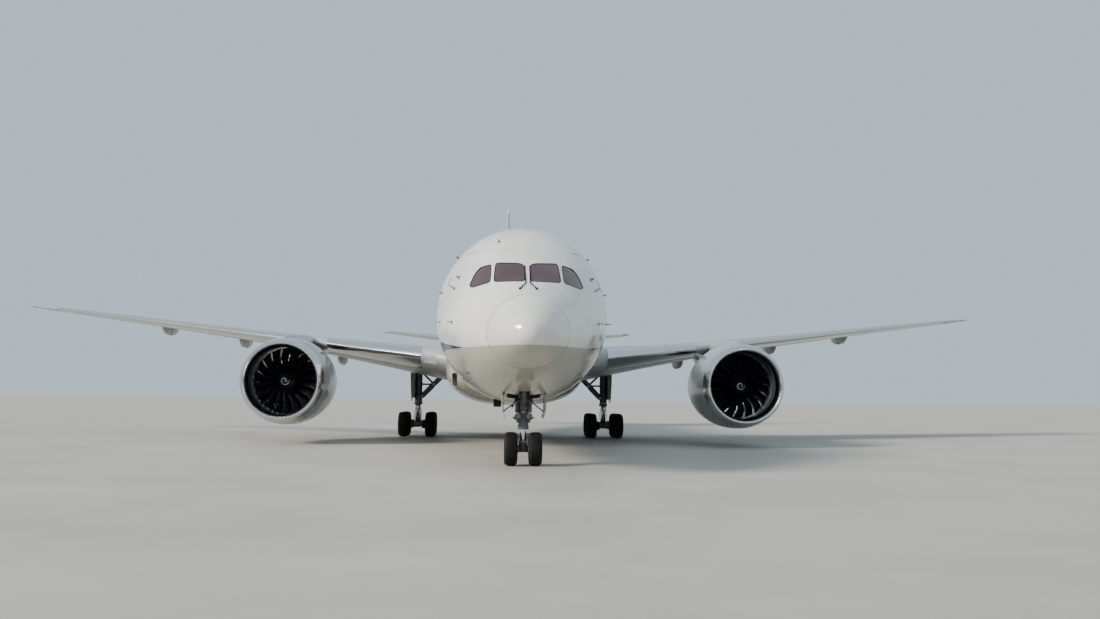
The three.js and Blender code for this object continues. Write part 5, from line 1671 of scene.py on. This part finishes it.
def strut_link(start, end, radius):
    """A round link with an eye at each end."""
    eyes = [
        spindle(at, 1.3 * radius * AFT, 1.5 * radius, bevel=0.15 * radius) for at in (start, end)
    ]
    return together(rod(start, end, radius, bevel=0.1 * radius), *eyes)


def scissor(leg_top, apex, leg_bottom, half):
    """Two forged links, each with two arms that meet at the apex, which keep the piston from turning."""
    sections = ((0, 0.2, 0.42), (0.1, 0.24, 0.42), (0.85, 0.16, 0.24), (1, 0.2, 0.26))
    sections = [(share, a * half, b * half) for share, a, b in sections]
    apex = Vector(apex)
    made = []
    for root in (Vector(leg_top), Vector(leg_bottom)):
        for out in (-half * PORT, half * PORT):
            made.append(forged(root + out, apex + 0.22 * out, PORT, sections))
        made.append(spindle((root + apex) / 2, 0.6 * half * PORT, 0.13 * half))
        made.append(pin(root, 1.25 * half, 0.26 * half))
    made.append(pin(apex, 0.55 * half, 0.24 * half))
    return together(*made)


CLIP_LENGTH, CLIP_HALF = 0.035, 0.02


def clips(pipes_at, heights, leg, radius):
    """Bands round a leg that hold its pipes."""
    made = []
    for h in heights:
        top = h + CLIP_LENGTH
        band = [(h, radius - 0.01), (h, radius), (top, radius), (top, radius - 0.01)]
        made.append(lathe(band, leg, 48, loop=True))
        for x, s in pipes_at:
            made.append(block((x - CLIP_HALF, s - CLIP_HALF, h), (x + CLIP_HALF, s + CLIP_HALF, top)))
    return together(*made)


TYRE_SQUARENESS = 2.8
WHEEL_HOLES = 10


def tyre(half, radius, rim, grooves):
    """A tyre's profile as (offset, radius): crown with grooves, bulging walls, beads on the rim."""
    middle = rim + 0.5 * (radius - rim)

    def crown(x):
        share = abs(x) / half
        return middle + (radius - middle) * (1 - share**TYRE_SQUARENESS) ** (1 / TYRE_SQUARENESS)

    across = half * np.sin(np.linspace(-1.45, 1.45, 31))
    rows = [(x, crown(x)) for x in off_edges(across, grooves, 0.012)]
    for g in grooves:
        rows += [(g + x, crown(g + x)) for x in (-0.008, 0.008)]
        rows += [(g + x, crown(g) - 0.011) for x in (-0.005, 0.005)]
    rows.sort()
    wall = [(half * (1 - 0.34 * t * t), middle - (middle - rim) * t) for t in np.linspace(0, 1, 7)]
    left = [(-x, r) for x, r in wall[::-1]]
    return [*left, *rows, *wall]


def wheel(half, rim, face, sign, place):
    """A forged wheel: rim, dished disc with holes, tie bolts and hub cap. face is its inner end."""
    disc = [
        (face, 0.0), (face, 0.62 * rim), (-0.72 * half, 0.7 * rim), (-0.7 * half, rim + 0.016),
        (-0.64 * half, rim + 0.018), (-0.62 * half, rim - 0.003), (0.62 * half, rim - 0.003),
        (0.64 * half, rim + 0.018), (0.7 * half, rim + 0.016), (0.7 * half, rim - 0.012),
        (0.55 * half, rim - 0.03), (0.34 * half, 0.72 * rim), (0.3 * half, 0.6 * rim),
        (0.32 * half, 0.42 * rim), (0.46 * half, 0.34 * rim), (0.48 * half, 0.24 * rim),
        (0.48 * half, 0.0),
    ]
    cap = [
        (0.46 * half, 0.2 * rim), (0.56 * half, 0.19 * rim), (0.6 * half, 0.14 * rim), (0.61 * half, 0.0),
    ]
    disc, cap = (
        lathe([(sign * a, r) for a, r in rows], place, sides) for rows, sides in ((disc, 72), (cap, 40))
    )

    def stud(angle, radius, low, high, thick, sides):
        """A bar beside the axle; its sizes are shares of the wheel's."""
        ends = [place @ around(sign * a * half, radius * rim, angle) for a in (low, high)]
        return rod(*ends, thick * rim, sides=sides)

    holes = [stud(a, 0.56, 0.1, 0.9, 0.085, 20) for a in turns(WHEEL_HOLES)]
    bolts = [stud(a, 0.66, 0.28, 0.42, 0.05, 6) for a in turns(WHEEL_HOLES, 0.5)]
    return carved(disc, together(*holes)), together(*bolts, cap)


def wheel_set(make, name, body_name, x, station, size, node):
    """Two wheels on one turning axle; make is piece, or pair for both sides. Returns the tyres."""
    radius, half, rim, spread = (size[k] for k in ("radius", "half", "rim", "spread"))
    discs, fittings, tyres = [], [], []
    for sign in (-1, 1):
        place = axle_frame(x + sign * spread, station, radius)
        disc, small = wheel(half, rim, size["inner"] - spread, sign, place)
        discs.append(disc)
        fittings.append(small)
        tyres.append(lathe(tyre(half, radius, rim, size["grooves"]), place, 96, loop=True))
    shaft = spindle((x, station, radius), spread * PORT, size["axle"], sides=32)
    make(f"{name}_wheels", together(*discs), WHEEL_ENAMEL, "wheel_paint", (node,), body=body_name)
    make(f"{name}_bolts", together(*fittings, shaft), STEEL, body=body_name)
    return tyres


NOSE_WHEELS, NOSE_LEG = 5.12, 5.08  # stations of the axle and the leg
NOSE_SET = dict(
    radius=0.508, half=0.2, rim=0.215, spread=0.372, inner=0.15, axle=0.05,
    grooves=(-0.09, -0.03, 0.03, 0.09))
NOSE_DOOR_X = 0.64
NOSE_LAMP = (0.17, 4.93, 1.5)


def make_nose_leg():
    """The leg's upper part with its drag brace, lock link and steering motor."""
    leg = upright(0, NOSE_LEG)
    cylinder = lathe([
        (1.73, 0.0), (1.73, 0.1), (1.2325, 0.1), (1.2325, 0.15), (1.3, 0.15), (1.31, 0.136),
        (1.37, 0.136), (1.38, 0.15), (1.5, 0.15), (1.51, 0.136), (1.68, 0.136), (1.7, 0.15),
        (1.82, 0.15), (1.84, 0.136), (2.52, 0.136), (2.52, 0.0),
    ], leg, 56)
    root, knee, motor = (0, NOSE_LEG, 1.96), (0, 4.995, 1.79), (0, 5.275, 1.44)
    trunnion = [spindle(root, a * PORT, r, bevel=0.01) for a, r in ((0.27, 0.06), (0.2, 0.08))]
    brace = forged((0, 5.0, 1.79), (0, 3.95, 2.565), PORT, [
        (0, 0.075, 0.05), (0.08, 0.075, 0.06), (0.14, 0.045, 0.055), (0.8, 0.05, 0.06),
        (0.9, 0.11, 0.06), (1, 0.11, 0.05),
    ])
    brace_lugs = [block((x, 4.95, 1.7), (x + 0.03, 5.06, 1.88)) for x in (-0.11, 0.08)]
    lock = strut_link((0.0, 5.02, 2.32), (0.0, 4.5, 2.2), 0.028)
    steer = [
        spindle(motor, 0.25 * PORT, 0.052, bevel=0.008),
        *[spindle((x, *motor[1:]), 0.035 * PORT, 0.062, bevel=0.006) for x in (-0.235, 0.235)],
        forged((0, 5.15, 1.44), (0, 5.3, 1.44), PORT, [(0, 0.1, 0.07), (1, 0.075, 0.065)]),
    ]
    x, s, z = NOSE_LAMP
    brackets = [rod((sign * x, s, z), (sign * 0.1, s + 0.1, z), 0.03, sides=12) for sign in (-1, 1)]
    casting = together(cylinder, *trunnion, brace, *brace_lugs, lock, *steer, *brackets)
    piece("nose_leg_cylinder", casting, GEAR_ENAMEL, "gear_paint", ("nose_gear_leg",))

    pins = [pin(knee, 0.11, 0.026), pin(root, 0.275, 0.034), spindle(motor, 0.33 * PORT, 0.022)]
    for sign in (-1, 1):
        near, far = (sign * 0.2, NOSE_LEG, 1.95), (sign * 0.6, NOSE_LEG, 1.645)
        pins.append(rod(near, far, 0.02, bevel=0.004))
        pins += [spindle(at, a * AFT, 0.034, bevel=0.005) for at, a in ((far, 0.04), (near, 0.035))]
    piece("nose_leg_pins", together(*pins), STEEL)
    runs = ((0.055, 5.232), (-0.055, 5.232), (0.135, 5.17), (-0.135, 5.17))
    pipes = []
    for x, s in runs:
        straight = [(x, s, z) for z in (2.45, 2.1, 1.75, 1.58)]
        pipes.append(pipe([*straight, (0.8 * x, s + 0.03, 1.5)], 0.011))
    piece("nose_leg_pipes", together(*pipes), BARE_ALUMINIUM)
    piece("nose_leg_clips", clips(runs, (1.6, 1.9, 2.14), leg, 0.155), STEEL)


def make_nose_lamps():
    """The lamps on the leg, and the valves and cans beside them."""
    x, s, z = NOSE_LAMP
    lamps = [lamp((sign * x, s, z), 0.095) for sign in (-1, 1)]
    piece("nose_lamp_housings", together(*[bowl for bowl, _ in lamps]), GEAR_ENAMEL)
    piece("nose_lamp_lenses", together(*[lens for _, lens in lamps]), LAMP_GLASS)
    valves = []
    for sign in (-1, 1):
        for low, high in (((0.14, 5.0, 1.6), (0.25, 5.17, 1.88)), ((0.13, 5.02, 1.3), (0.21, 5.16, 1.4))):
            a, b = sorted((sign * low[0], sign * high[0]))
            valves.append(block((a, *low[1:]), (b, *high[1:])))
        valves.append(spindle((sign * 0.2, 4.96, 1.75), 0.09 * UP, 0.035, bevel=0.006))
    piece("nose_leg_valves", together(*valves), GEAR_ENAMEL, bevel=0.008)


def make_nose_steering():
    """What turns with the wheels: collar, piston, torque links, axle housing and tow fitting."""
    leg = upright(0, NOSE_LEG)
    axle = (0, NOSE_WHEELS, NOSE_SET["radius"])
    collar = lathe([
        (1.104, 0.1), (1.104, 0.15), (1.115, 0.165), (1.215, 0.165), (1.2285, 0.155), (1.2285, 0.1),
    ], leg, 56, loop=True)
    casting = lathe([
        (0.42, 0.0), (0.42, 0.07), (0.47, 0.115), (0.56, 0.13), (0.66, 0.128), (0.76, 0.112),
        (0.8, 0.1), (0.8, 0.0),
    ], leg, 48)
    housing = lathe([
        (-0.149, 0.062), (-0.149, 0.1), (-0.125, 0.108), (-0.11, 0.096), (0.11, 0.096),
        (0.125, 0.108), (0.149, 0.1), (0.149, 0.062),
    ], axle_frame(*axle), 48, loop=True)
    bore = spindle(axle, 0.4 * PORT, 0.0615, sides=32)
    links = scissor((0, 5.215, 1.155), (0, 5.5, 0.87), (0, 5.2, 0.6), 0.075)
    tow_bar = (0, 4.93, 0.72)
    tow = [
        forged((0, 5.02, 0.72), (0, 4.9, 0.72), PORT, [
            (0, 0.07, 0.07), (0.6, 0.045, 0.055), (1, 0.04, 0.05),
        ]),
        spindle(tow_bar, 0.15 * PORT, 0.034, bevel=0.008),
    ]
    made = together(collar, carved(casting, bore), housing, links, *tow)
    piece("nose_steering_collar", made, GEAR_ENAMEL, "gear_paint",
          ("nose_gear_steering",), body="nose_steering")
    piston = rod((0, NOSE_LEG, 0.78), (0, NOSE_LEG, 1.52), 0.092, sides=48)
    piece("nose_piston", piston, CHROME, body="nose_steering")
    bolts = [spindle((sign * 0.141, *tow_bar[1:]), 0.011 * PORT, 0.046, sides=20) for sign in (-1, 1)]
    for a in turns(12):
        at = (0.157 * sin(a), NOSE_LEG + 0.157 * cos(a), 1.097)
        bolts.append(spindle(at, 0.007 * UP, 0.011, sides=6))
    piece("nose_steering_bolts", together(*bolts), STEEL, body="nose_steering")


def make_nose_wheels():
    tyres = wheel_set(piece, "nose", "nose_wheels", 0, NOSE_WHEELS, NOSE_SET, "nose_wheel_hubs")
    for side, shape in zip(("right", "left"), tyres):
        piece(f"nose_tyre_{side}_rubber", shape, RUBBER, "tyre_rubber",
              (f"nose_tyre_{side}",), body="nose_wheels")


def make_nose_doors():
    """Doors on each side of the bay, bowed like the belly, with a stiffening frame inside."""
    x = NOSE_DOOR_X
    rings = []
    for share in np.linspace(0, 1, 15):
        station = NOSE_WHEELS - 0.56 + 0.98 * share
        corner = max(0.0, 1 - min(share, 1 - share) / 0.12)
        outer = [(x + 0.026, 2.3), (x + 0.026, 2.0), (x + 0.02, 1.75), (x + 0.006, 1.6)]
        outer.append((x - 0.044, 1.43 + 0.1 * corner**2))
        inner = [(a - 0.024, z) for a, z in outer[::-1]]
        rings.append([(a, station, z) for a, z in outer + inner])
    panel = carved(loft(rings), body(0.004, *BELLY_NEAR_BAY))
    stays = [
        block((x - 0.03, s - 0.012, 1.62), (x + 0.008, s + 0.012, 2.16)) for s in (4.68, 4.9, 5.12, 5.34)
    ]
    stays += [
        block((x - 0.026, 4.6, z - 0.012), (x + 0.008, 5.48, z + 0.012)) for z in (1.64, 1.88, 2.1)
    ]
    arms = [
        forged((x, s, 2.1), (x - 0.16, s, 2.3), AFT, [(0, 0.03, 0.02), (1, 0.03, 0.03)])
        for s in (4.8, 5.3)
    ]
    pair("nose_gear_door_skin", panel, BELLY_PAINT, "belly_grey_paint", ("nose_gear_door",))
    pair("nose_gear_door_frame", together(*stays, *arms), LINER)


MAIN_X, MAIN_S = 4.9, 27.9
TRUCK_HALF = 0.73
MAIN_SET = dict(
    radius=0.635, half=0.25, rim=0.3, spread=0.69, inner=0.47, axle=0.062,
    grooves=(-0.125, -0.042, 0.042, 0.125))
AXLE_HEIGHT = MAIN_SET["radius"]
AXLE_HOUSING_HALF = MAIN_SET["inner"] - 0.0014
ELBOW = (-0.8, -0.14, 2.715)


def by_leg(x, s, z):
    """A point near the port main leg: offsets from the leg, and the height."""
    return Vector((MAIN_X + x, MAIN_S + s, z))


def brake(place, sign):
    """One wheel's brake: its pack of discs, and the pistons' caps round it."""
    half = AXLE_HOUSING_HALF
    rows = [(0.28, 0.112), (0.28, 0.2), (0.3, 0.212), (0.345, 0.212), (0.35, 0.2)]
    for k in range(4):
        a = 0.355 + 0.026 * k
        rows += [(a, 0.196), (a + 0.002, 0.214), (a + 0.018, 0.214), (a + 0.02, 0.196)]
    rows += [(0.465, 0.196), (half, 0.19), (half, 0.112)]
    discs = lathe([(sign * a, r) for a, r in rows], place, 56, loop=True)
    caps = []
    for a in turns(7, 0.5):
        c = place @ around(sign * 0.285, 0.165, a)
        caps.append(rod(c, c - sign * 0.035 * PORT, 0.03, sides=14, bevel=0.004))
    return discs, together(*caps)


def main_truck():
    """The beam with its axle housings, bored for the axles, and both axles' brakes."""
    half = AXLE_HOUSING_HALF
    ends = [by_leg(0, offset, AXLE_HEIGHT) for offset in (-TRUCK_HALF, TRUCK_HALF)]
    beam = forged(*ends, PORT, [
        (0, 0.09, 0.12), (0.06, 0.1, 0.125), (0.14, 0.085, 0.11), (0.4, 0.115, 0.125),
        (0.6, 0.115, 0.125), (0.86, 0.085, 0.11), (0.94, 0.1, 0.125), (1, 0.09, 0.12),
    ], 0.8)
    housings, bores, brakes = [], [], []
    for end in ends:
        place = axle_frame(*end)
        housings.append(lathe([
            (-half, 0.08), (-half, 0.105), (-0.2, 0.11), (-0.17, 0.14), (0.17, 0.14), (0.2, 0.11),
            (half, 0.105), (half, 0.08),
        ], place, 48, loop=True))
        bores.append(spindle(end, 0.9 * PORT, 0.0745, sides=32))
        brakes += [brake(place, sign) for sign in (-1, 1)]
    return together(carved(beam, *bores), *housings), brakes


def main_braces():
    """Side brace in two halves, drag brace, lock links and their lugs."""
    elbow = by_leg(*ELBOW)
    return together(
        forged(by_leg(-0.16, 0.02, 2.06), elbow, AFT, [
            (0, 0.09, 0.1), (0.1, 0.1, 0.125), (0.22, 0.075, 0.13), (0.8, 0.08, 0.135),
            (0.92, 0.11, 0.125), (1, 0.1, 0.1),
        ]),
        forged(elbow, by_leg(-1.44, -0.296, 3.38), AFT, [
            (0, 0.07, 0.1), (0.1, 0.07, 0.125), (0.2, 0.085, 0.13), (1, 0.1, 0.14),
        ]),
        *[block(by_leg(-0.26, s, 1.98), by_leg(-0.12, s + 0.045, 2.18)) for s in (-0.12, 0.13)],
        forged(by_leg(-0.02, -0.1, 2.07), by_leg(-0.165, -1.25, 3.74), PORT, [
            (0, 0.075, 0.06), (0.08, 0.085, 0.075), (0.15, 0.07, 0.07), (0.85, 0.07, 0.075),
            (1, 0.09, 0.08),
        ]),
        strut_link(by_leg(-0.14, 0.0, 3.36), elbow + Vector((0.06, 0.03, 0.08)), 0.05),
        strut_link(by_leg(-0.16, 0.0, 2.72), elbow + Vector((0.12, 0.03, 0)), 0.042),
    )


def make_main_leg():
    """The leg with its truck beam, brakes, braces, torque links and trim actuator."""
    leg = upright(MAIN_X, MAIN_S)
    cylinder = lathe([
        (1.652, 0.0), (1.652, 0.205), (1.665, 0.215), (1.76, 0.215), (1.775, 0.188), (1.98, 0.188),
        (2.0, 0.212), (2.14, 0.212), (2.16, 0.188), (2.66, 0.188), (2.68, 0.205), (2.78, 0.205),
        (2.8, 0.188), (3.42, 0.188), (3.44, 0.205), (3.54, 0.205), (3.56, 0.188), (3.7, 0.188),
        (3.7, 0.0),
    ], leg, 56)
    pivot = lathe([
        (-0.16, 0.0), (-0.16, 0.14), (-0.14, 0.16), (0.14, 0.16), (0.16, 0.14), (0.16, 0.0),
    ], axle_frame(*by_leg(0, 0, AXLE_HEIGHT)), 40)
    fork = lathe([(0.7, 0.0), (0.7, 0.145), (0.86, 0.145), (0.92, 0.122), (0.95, 0.0)], leg, 48)
    links = scissor(by_leg(0, -0.2, 1.62), by_leg(0, -0.5, 1.15), by_leg(0, -0.14, 0.76), 0.1)
    trimmer = [
        rod(by_leg(0, 0.24, 1.5), by_leg(0, 0.42, 1.12), 0.055, bevel=0.008),
        block(by_leg(-0.05, 0.14, 1.66), by_leg(0.05, 0.28, 1.74)),
        rod(by_leg(0, 0.22, 1.7), by_leg(0, 0.25, 1.49), 0.04),
    ]
    truck, brakes = main_truck()
    whole = together(cylinder, pivot, fork, truck, links, main_braces(), *trimmer)
    pair("main_leg_cylinder", whole, GEAR_ENAMEL, "gear_paint", ("main_gear_leg",))
    pistons = together(
        rod(by_leg(0, 0, 0.9), by_leg(0, 0, 1.68), 0.12, sides=48),
        rod(by_leg(0, 0.42, 1.12), by_leg(0, 0.55, 0.78), 0.028, sides=24))
    pair("main_piston", pistons, CHROME)
    pair("brake_discs", together(*[discs for discs, _ in brakes]), CARBON)
    pins = [
        pin(by_leg(0, 0, AXLE_HEIGHT), 0.165, 0.07), pin(by_leg(*ELBOW), 0.13, 0.045, AFT),
        pin(by_leg(-0.18, 0.025, 2.08), 0.16, 0.045, AFT), pin(by_leg(-0.02, -0.12, 2.09), 0.1, 0.04),
        pin(by_leg(0, 0.55, 0.77), 0.05, 0.025),
    ]
    pair("main_leg_pins", together(*pins, *[caps for _, caps in brakes]), STEEL)


def make_main_pipes():
    """Pipes down the leg, to each brake, and along the beam, with their clips."""
    beside = ((0.07, 0.205), (-0.07, 0.205), (0.15, 0.155), (-0.17, -0.14))
    runs = [(MAIN_X + x, MAIN_S + s) for x, s in beside]
    pipes = []
    for x, s in runs:
        straight = [(x, s, z) for z in (3.62, 3.0, 2.3, 1.9)]
        pipes.append(pipe([*straight, (x, s + 0.015, 1.72)], 0.014))
    to_brake = (
        (0.06, 0.215, 1.7), (0.13, 0.3, 1.35), (0.17, 0.42, 0.95), (0.2, 0.6, 0.84), (0.27, 0.72, 0.83),
    )
    along_beam = (
        (0.12, -0.6, 0.745), (0.125, -0.3, 0.765), (0.18, 0, 0.8), (0.125, 0.3, 0.765), (0.12, 0.6, 0.745),
    )
    for sign in (-1, 1):
        for end in (-1, 1):
            pipes.append(pipe([by_leg(sign * x, end * s, z) for x, s, z in to_brake], 0.013))
        pipes.append(pipe([by_leg(sign * x, s, z) for x, s, z in along_beam], 0.012))
    pair("main_leg_pipes", together(*pipes), SEAL)
    bands = clips(runs, (1.8, 2.3, 2.9, 3.3), upright(MAIN_X, MAIN_S), 0.21)
    pair("main_leg_clips", bands, STEEL)


def make_main_wheels():
    for axle, offset in (("front", -TRUCK_HALF), ("rear", TRUCK_HALF)):
        wheels, station = f"main_wheels_{axle}", MAIN_S + offset
        tyres = wheel_set(
            pair, f"main_{axle}", wheels, MAIN_X, station, MAIN_SET, f"main_wheel_hubs_{axle}")
        for place, shape in zip(("inner", "outer"), tyres):
            pair(f"tyre_{axle}_{place}_rubber", shape, RUBBER, "tyre_rubber",
                 (f"tyre_{axle}_{place}",), body=wheels)


def make_main_doors(wing):
    """The bowed panel outboard of each leg, trimmed under the wing, with its ribs."""
    x, s = MAIN_X, MAIN_S
    top, foot = 4.0, 1.85
    rings = []
    for share in np.linspace(0, 1, 17):
        station = s - 0.7 + 0.96 * share
        corner = max(0.0, 1 - min(share, 1 - share) / 0.15) ** 2
        column = []
        for t in np.linspace(0, 1, 9):
            low = foot + 0.25 * corner
            z = low + (top - low) * t
            bow = 0.05 * (z - foot) / (top - foot) + 0.02 * sin(pi * t)
            column.append((x + 0.3 + bow, z))
        outer = [(a + 0.03, station, z) for a, z in column]
        rings.append(outer + [(a, station, z) for a, z in column[::-1]])
    panel = carved(loft(rings), moved(wing, Matrix.Translation(-0.035 * UP)))
    pair("main_gear_door_skin", panel, BELLY_PAINT, "belly_grey_paint", ("main_gear_door",))
    ribs = [
        block((x + 0.25, s - 0.62, z - 0.014), (x + 0.33, s + 0.18, z + 0.014))
        for z in (2.15, 2.55, 2.9, 3.2)
    ]
    ribs += [
        block((x + 0.2, b - 0.014, 2.0), (x + 0.33, b + 0.014, 3.3)) for b in (s - 0.5, s - 0.2, s + 0.1)
    ]
    ribs += [
        forged((x + 0.17, s, z), (x + 0.3, s, z), AFT, [(0, 0.05, 0.03), (1, 0.035, 0.03)])
        for z in (2.15, 2.9)
    ]
    pair("main_gear_door_frame", together(*ribs), LINER)


make_nose_leg()
make_nose_lamps()
make_nose_steering()
make_nose_wheels()
make_nose_doors()
make_main_leg()
make_main_pipes()
make_main_wheels()
make_main_doors(WING_WHOLE)

# Small fittings on the skin


def skin_x(station, z):
    """Half the smooth body's width at a station and a height, or 0 above and below it."""
    half_width, top, middle, bottom = body_at([station])[0]
    up = z - AXIS - middle
    share = up / (top - middle if up > 0 else middle - bottom)
    return half_width * sqrt(max(0.0, 1 - share * share))


def nose_station(x, z):
    """The station where the nose's skin passes through x and z."""
    ahead, behind = 0.01, 9.0
    for _ in range(30):
        middle = (ahead + behind) / 2
        if skin_x(middle, z) > abs(x):
            behind = middle
        else:
            ahead = middle
    return behind


def on_skin(station, z):
    """A frame on the port skin: outwards, then aft along it."""
    step = 0.05
    x = skin_x(station, z)
    along = Vector((skin_x(station + step, z) - x, step, 0))
    up = Vector((skin_x(station, z + step) - x, 0, step))
    out = along.cross(up)
    start = Vector((x, station, z))
    return frame_from(start, start + (out if out.x > 0 else -out), along)


def over(station, z, sign, x=0.0):
    """A frame on the crown or the belly: up or down, then aft."""
    return frame_from((x, station, z), (x, station, z + sign), (0, 1, 0))


def probe(place):
    """A pressure probe: a plate, a strut and a tube that points ahead."""
    strut = blade(place, 0.13, 0.09, -0.05, 0.014)
    nib = rod(place @ Vector((0.13, 0, 0)), place @ Vector((0.13, -0.24, 0)), 0.015, 0.01, 16, 0.004)
    return together(strut, nib)


def vane(place):
    """A round plate with a small wedge that turns into the airflow."""
    disc = lathe([(-0.01, 0.0), (-0.01, 0.075), (0.006, 0.075), (0.012, 0.06), (0.012, 0.0)], place, 36)
    section = ((-0.03, -0.006), (0.09, -0.016), (0.09, 0.016), (-0.03, 0.006))
    wedge = loft([[place @ Vector((up, *p)) for p in section] for up in (0.0, 0.085)])
    return together(disc, wedge)


def beacon(place):
    """A beacon's metal base and its lens."""
    base = [(-0.03, 0.0), (-0.03, 0.11), (0.012, 0.11), (0.02, 0.09), (0.02, 0.0)]
    lens = [(0.018, 0.0), (0.018, 0.082), (0.06, 0.076), (0.095, 0.055), (0.115, 0.025), (0.12, 0.0)]
    return tuple(lathe(rows, place, 40) for rows in (base, lens))


# Places of the nose's sensors: station, height
PROBES = ((4.8, 5.33), (4.04, 4.25), (6.24, 4.41))
VANES = ((4.9, 5.68), (6.91, 5.41), (4.51, 2.8))
WIPER_FOOT, WIPER_KNEE = (0.23, 0.2), (0.07, 0.43)  # x, height above the axis
WIPER_BLADE = ((0.06, 0.47), (0.07, 1.04))


def make_wipers():
    """On each side a wiper, parked upright beside the middle post."""
    def lifted_off(x, up, off):
        z = AXIS + up
        return Vector((x, nose_station(x, z) - off, z))

    low, high = (np.array(p) for p in WIPER_BLADE)
    squeegee = pipe([lifted_off(*(low + (high - low) * t), 0.02) for t in np.linspace(0, 1, 6)], 0.012)
    arm = pipe([
        lifted_off(*WIPER_FOOT, 0.01), lifted_off(0.17, 0.3, 0.05), lifted_off(*WIPER_KNEE, 0.06),
        lifted_off(0.068, 0.6, 0.052), lifted_off(0.068, 0.76, 0.04),
    ], 0.014)
    foot = lifted_off(*WIPER_FOOT, 0.0)
    boss = spindle(foot, Vector((0, -0.03, 0.03)), 0.034, bevel=0.006)
    pair("wiper", together(squeegee, arm, boss), SEAL)


# Blade antennas on the crown and under the belly: station, height, chord
CROWN_ANTENNAS = ((9.4, 0.3, 0.34), (13.1, 0.36, 0.42), (26.0, 0.3, 0.34), (31.6, 0.36, 0.42))
BELLY_ANTENNAS = ((8.8, 0.24, 0.32), (12.6, 0.28, 0.36))
CROWN, KEEL = AXIS + 2.98, AXIS - 2.98


def make_sensors():
    """Probes, vanes, ports and the ice detector on the nose."""
    pair("pressure_probes", together(*[probe(on_skin(*at)) for at in PROBES]), STEEL)
    pair("airflow_vanes", together(*[vane(on_skin(*at)) for at in VANES]), STEEL)
    ports = [plate(on_skin(s, 4.35), 0.14, 0.07, 0.003) for s in (8.3, 8.75)]
    pair("static_ports", together(*ports), BARE_ALUMINIUM)
    place = on_skin(5.27, 6.85)
    detector = together(
        plate(place, 0.06, 0.04), rod(place.translation, place @ Vector((0.09, 0, 0)), 0.014))
    piece("ice_detector", mirrored(detector), SEAL)
    pair("side_blade_antenna", blade(on_skin(7.92, 6.68), 0.11, 0.26, 0.05), SEAL)


def make_antennas():
    """Antennas, drain masts and beacons along the crown and the belly."""
    tops = [blade(over(s, CROWN, 1), h, c, 0.12, 0.016) for s, h, c in CROWN_ANTENNAS]
    piece("crown_antennas", together(*tops), BODY_PAINT)
    lows = [blade(over(s, KEEL, -1), h, c, 0.1, 0.016) for s, h, c in BELLY_ANTENNAS]
    piece("belly_antennas", together(*lows), SEAL)
    # The box is black as painted shade under the belly.
    box = prism(rounded_box((9.42, 1.73), (9.82, 2.0), 0.06), 0, -0.92, -0.66)
    piece("belly_antenna_box", box, SEAL, bevel=0.012)
    feet = (over(14.3, KEEL, -1, 0.5), over(37.2, KEEL + 0.05, -1, 0.4))
    masts = [blade(foot, 0.3, 0.2, 0.16, 0.02) for foot in feet]
    piece("drain_masts", together(*masts), STEEL)
    made = [beacon(over(22.3, CROWN + 0.005, 1)), beacon(over(24.6, 1.695, -1))]
    piece("beacon_bases", together(*[b for b, _ in made]), BARE_ALUMINIUM)
    piece("beacon_lenses", together(*[lens for _, lens in made]), RED_LENS)


def wick(start):
    """A thin rod that bleeds off static charge behind a trailing edge."""
    start = Vector(start) - 0.06 * AFT
    holder = rod(start, start + 0.1 * AFT, 0.009, 0.007, 8)
    return together(holder, rod(start, start + Vector((0, 0.27, -0.015)), 0.004, 0.002, 8))


def wicks_on(table, places):
    return together(*[wick(wing_point(between(table, at), 1.0, 0)) for at in places])


def make_wicks():
    pair("aileron_wicks", wicks_on(WING, (21.4, 22.9, 24.4, 25.8)), SEAL, body="aileron")
    pair("wing_tip_wicks", wicks_on(WING, (26.8, 27.7)), SEAL)
    pair("elevator_wicks", wicks_on(STABILISER, (4.6, 6.4, 8.2)), SEAL, body="elevator")
    rudder = [wick(fin_point(height, 1.0)[0]) for height in (11.0, 12.8, 14.6, 16.2)]
    piece("rudder_wicks", together(*rudder), SEAL, body="rudder")


make_wipers()
make_sensors()
make_antennas()
make_wicks()

# Floor and light


KEY_DIRECTION = (1.0, 0.5, -0.62)  # from the starboard side and a little ahead
FLOOR_HALF, FLOOR_HEIGHT = 400, -0.001


def make_studio():
    """A pale floor that runs to the horizon, a soft sun and a pale sky."""
    corners = [
        (x * FLOOR_HALF, y * FLOOR_HALF, FLOOR_HEIGHT) for x, y in ((-1, -1), (1, -1), (1, 1), (-1, 1))
    ]
    floor = bpy.data.objects.new("floor", mesh_of(corners, [(0, 1, 2, 3)]))
    # Smooth pale concrete: matt, faintly mottled in broad patches
    made, tree, shader, place = new_finish("pale_floor")
    grime(tree, shader, place, ("b4b1aa", "bebbb4"), 5000, rough=(0.55, 0.7))
    floor.data.materials.append(made)
    scene.collection.objects.link(floor)

    sky = bpy.data.worlds.new("soft_sky")
    sky.use_nodes = True
    background = sky.node_tree.nodes["Background"].inputs
    background["Color"].default_value = linear("cbd9e4")
    background["Strength"].default_value = 0.8
    scene.world = sky

    sun = bpy.data.lights.new("key", "SUN")
    sun.energy = 3.4
    sun.angle = radians(14)
    sun.color = linear("fff7ea")[:3]
    key = bpy.data.objects.new("key", sun)
    key.rotation_euler = Vector(KEY_DIRECTION).to_track_quat("-Z", "Y").to_euler()
    scene.collection.objects.link(key)
    scene.view_settings.look = "AgX - Medium High Contrast"


make_studio()
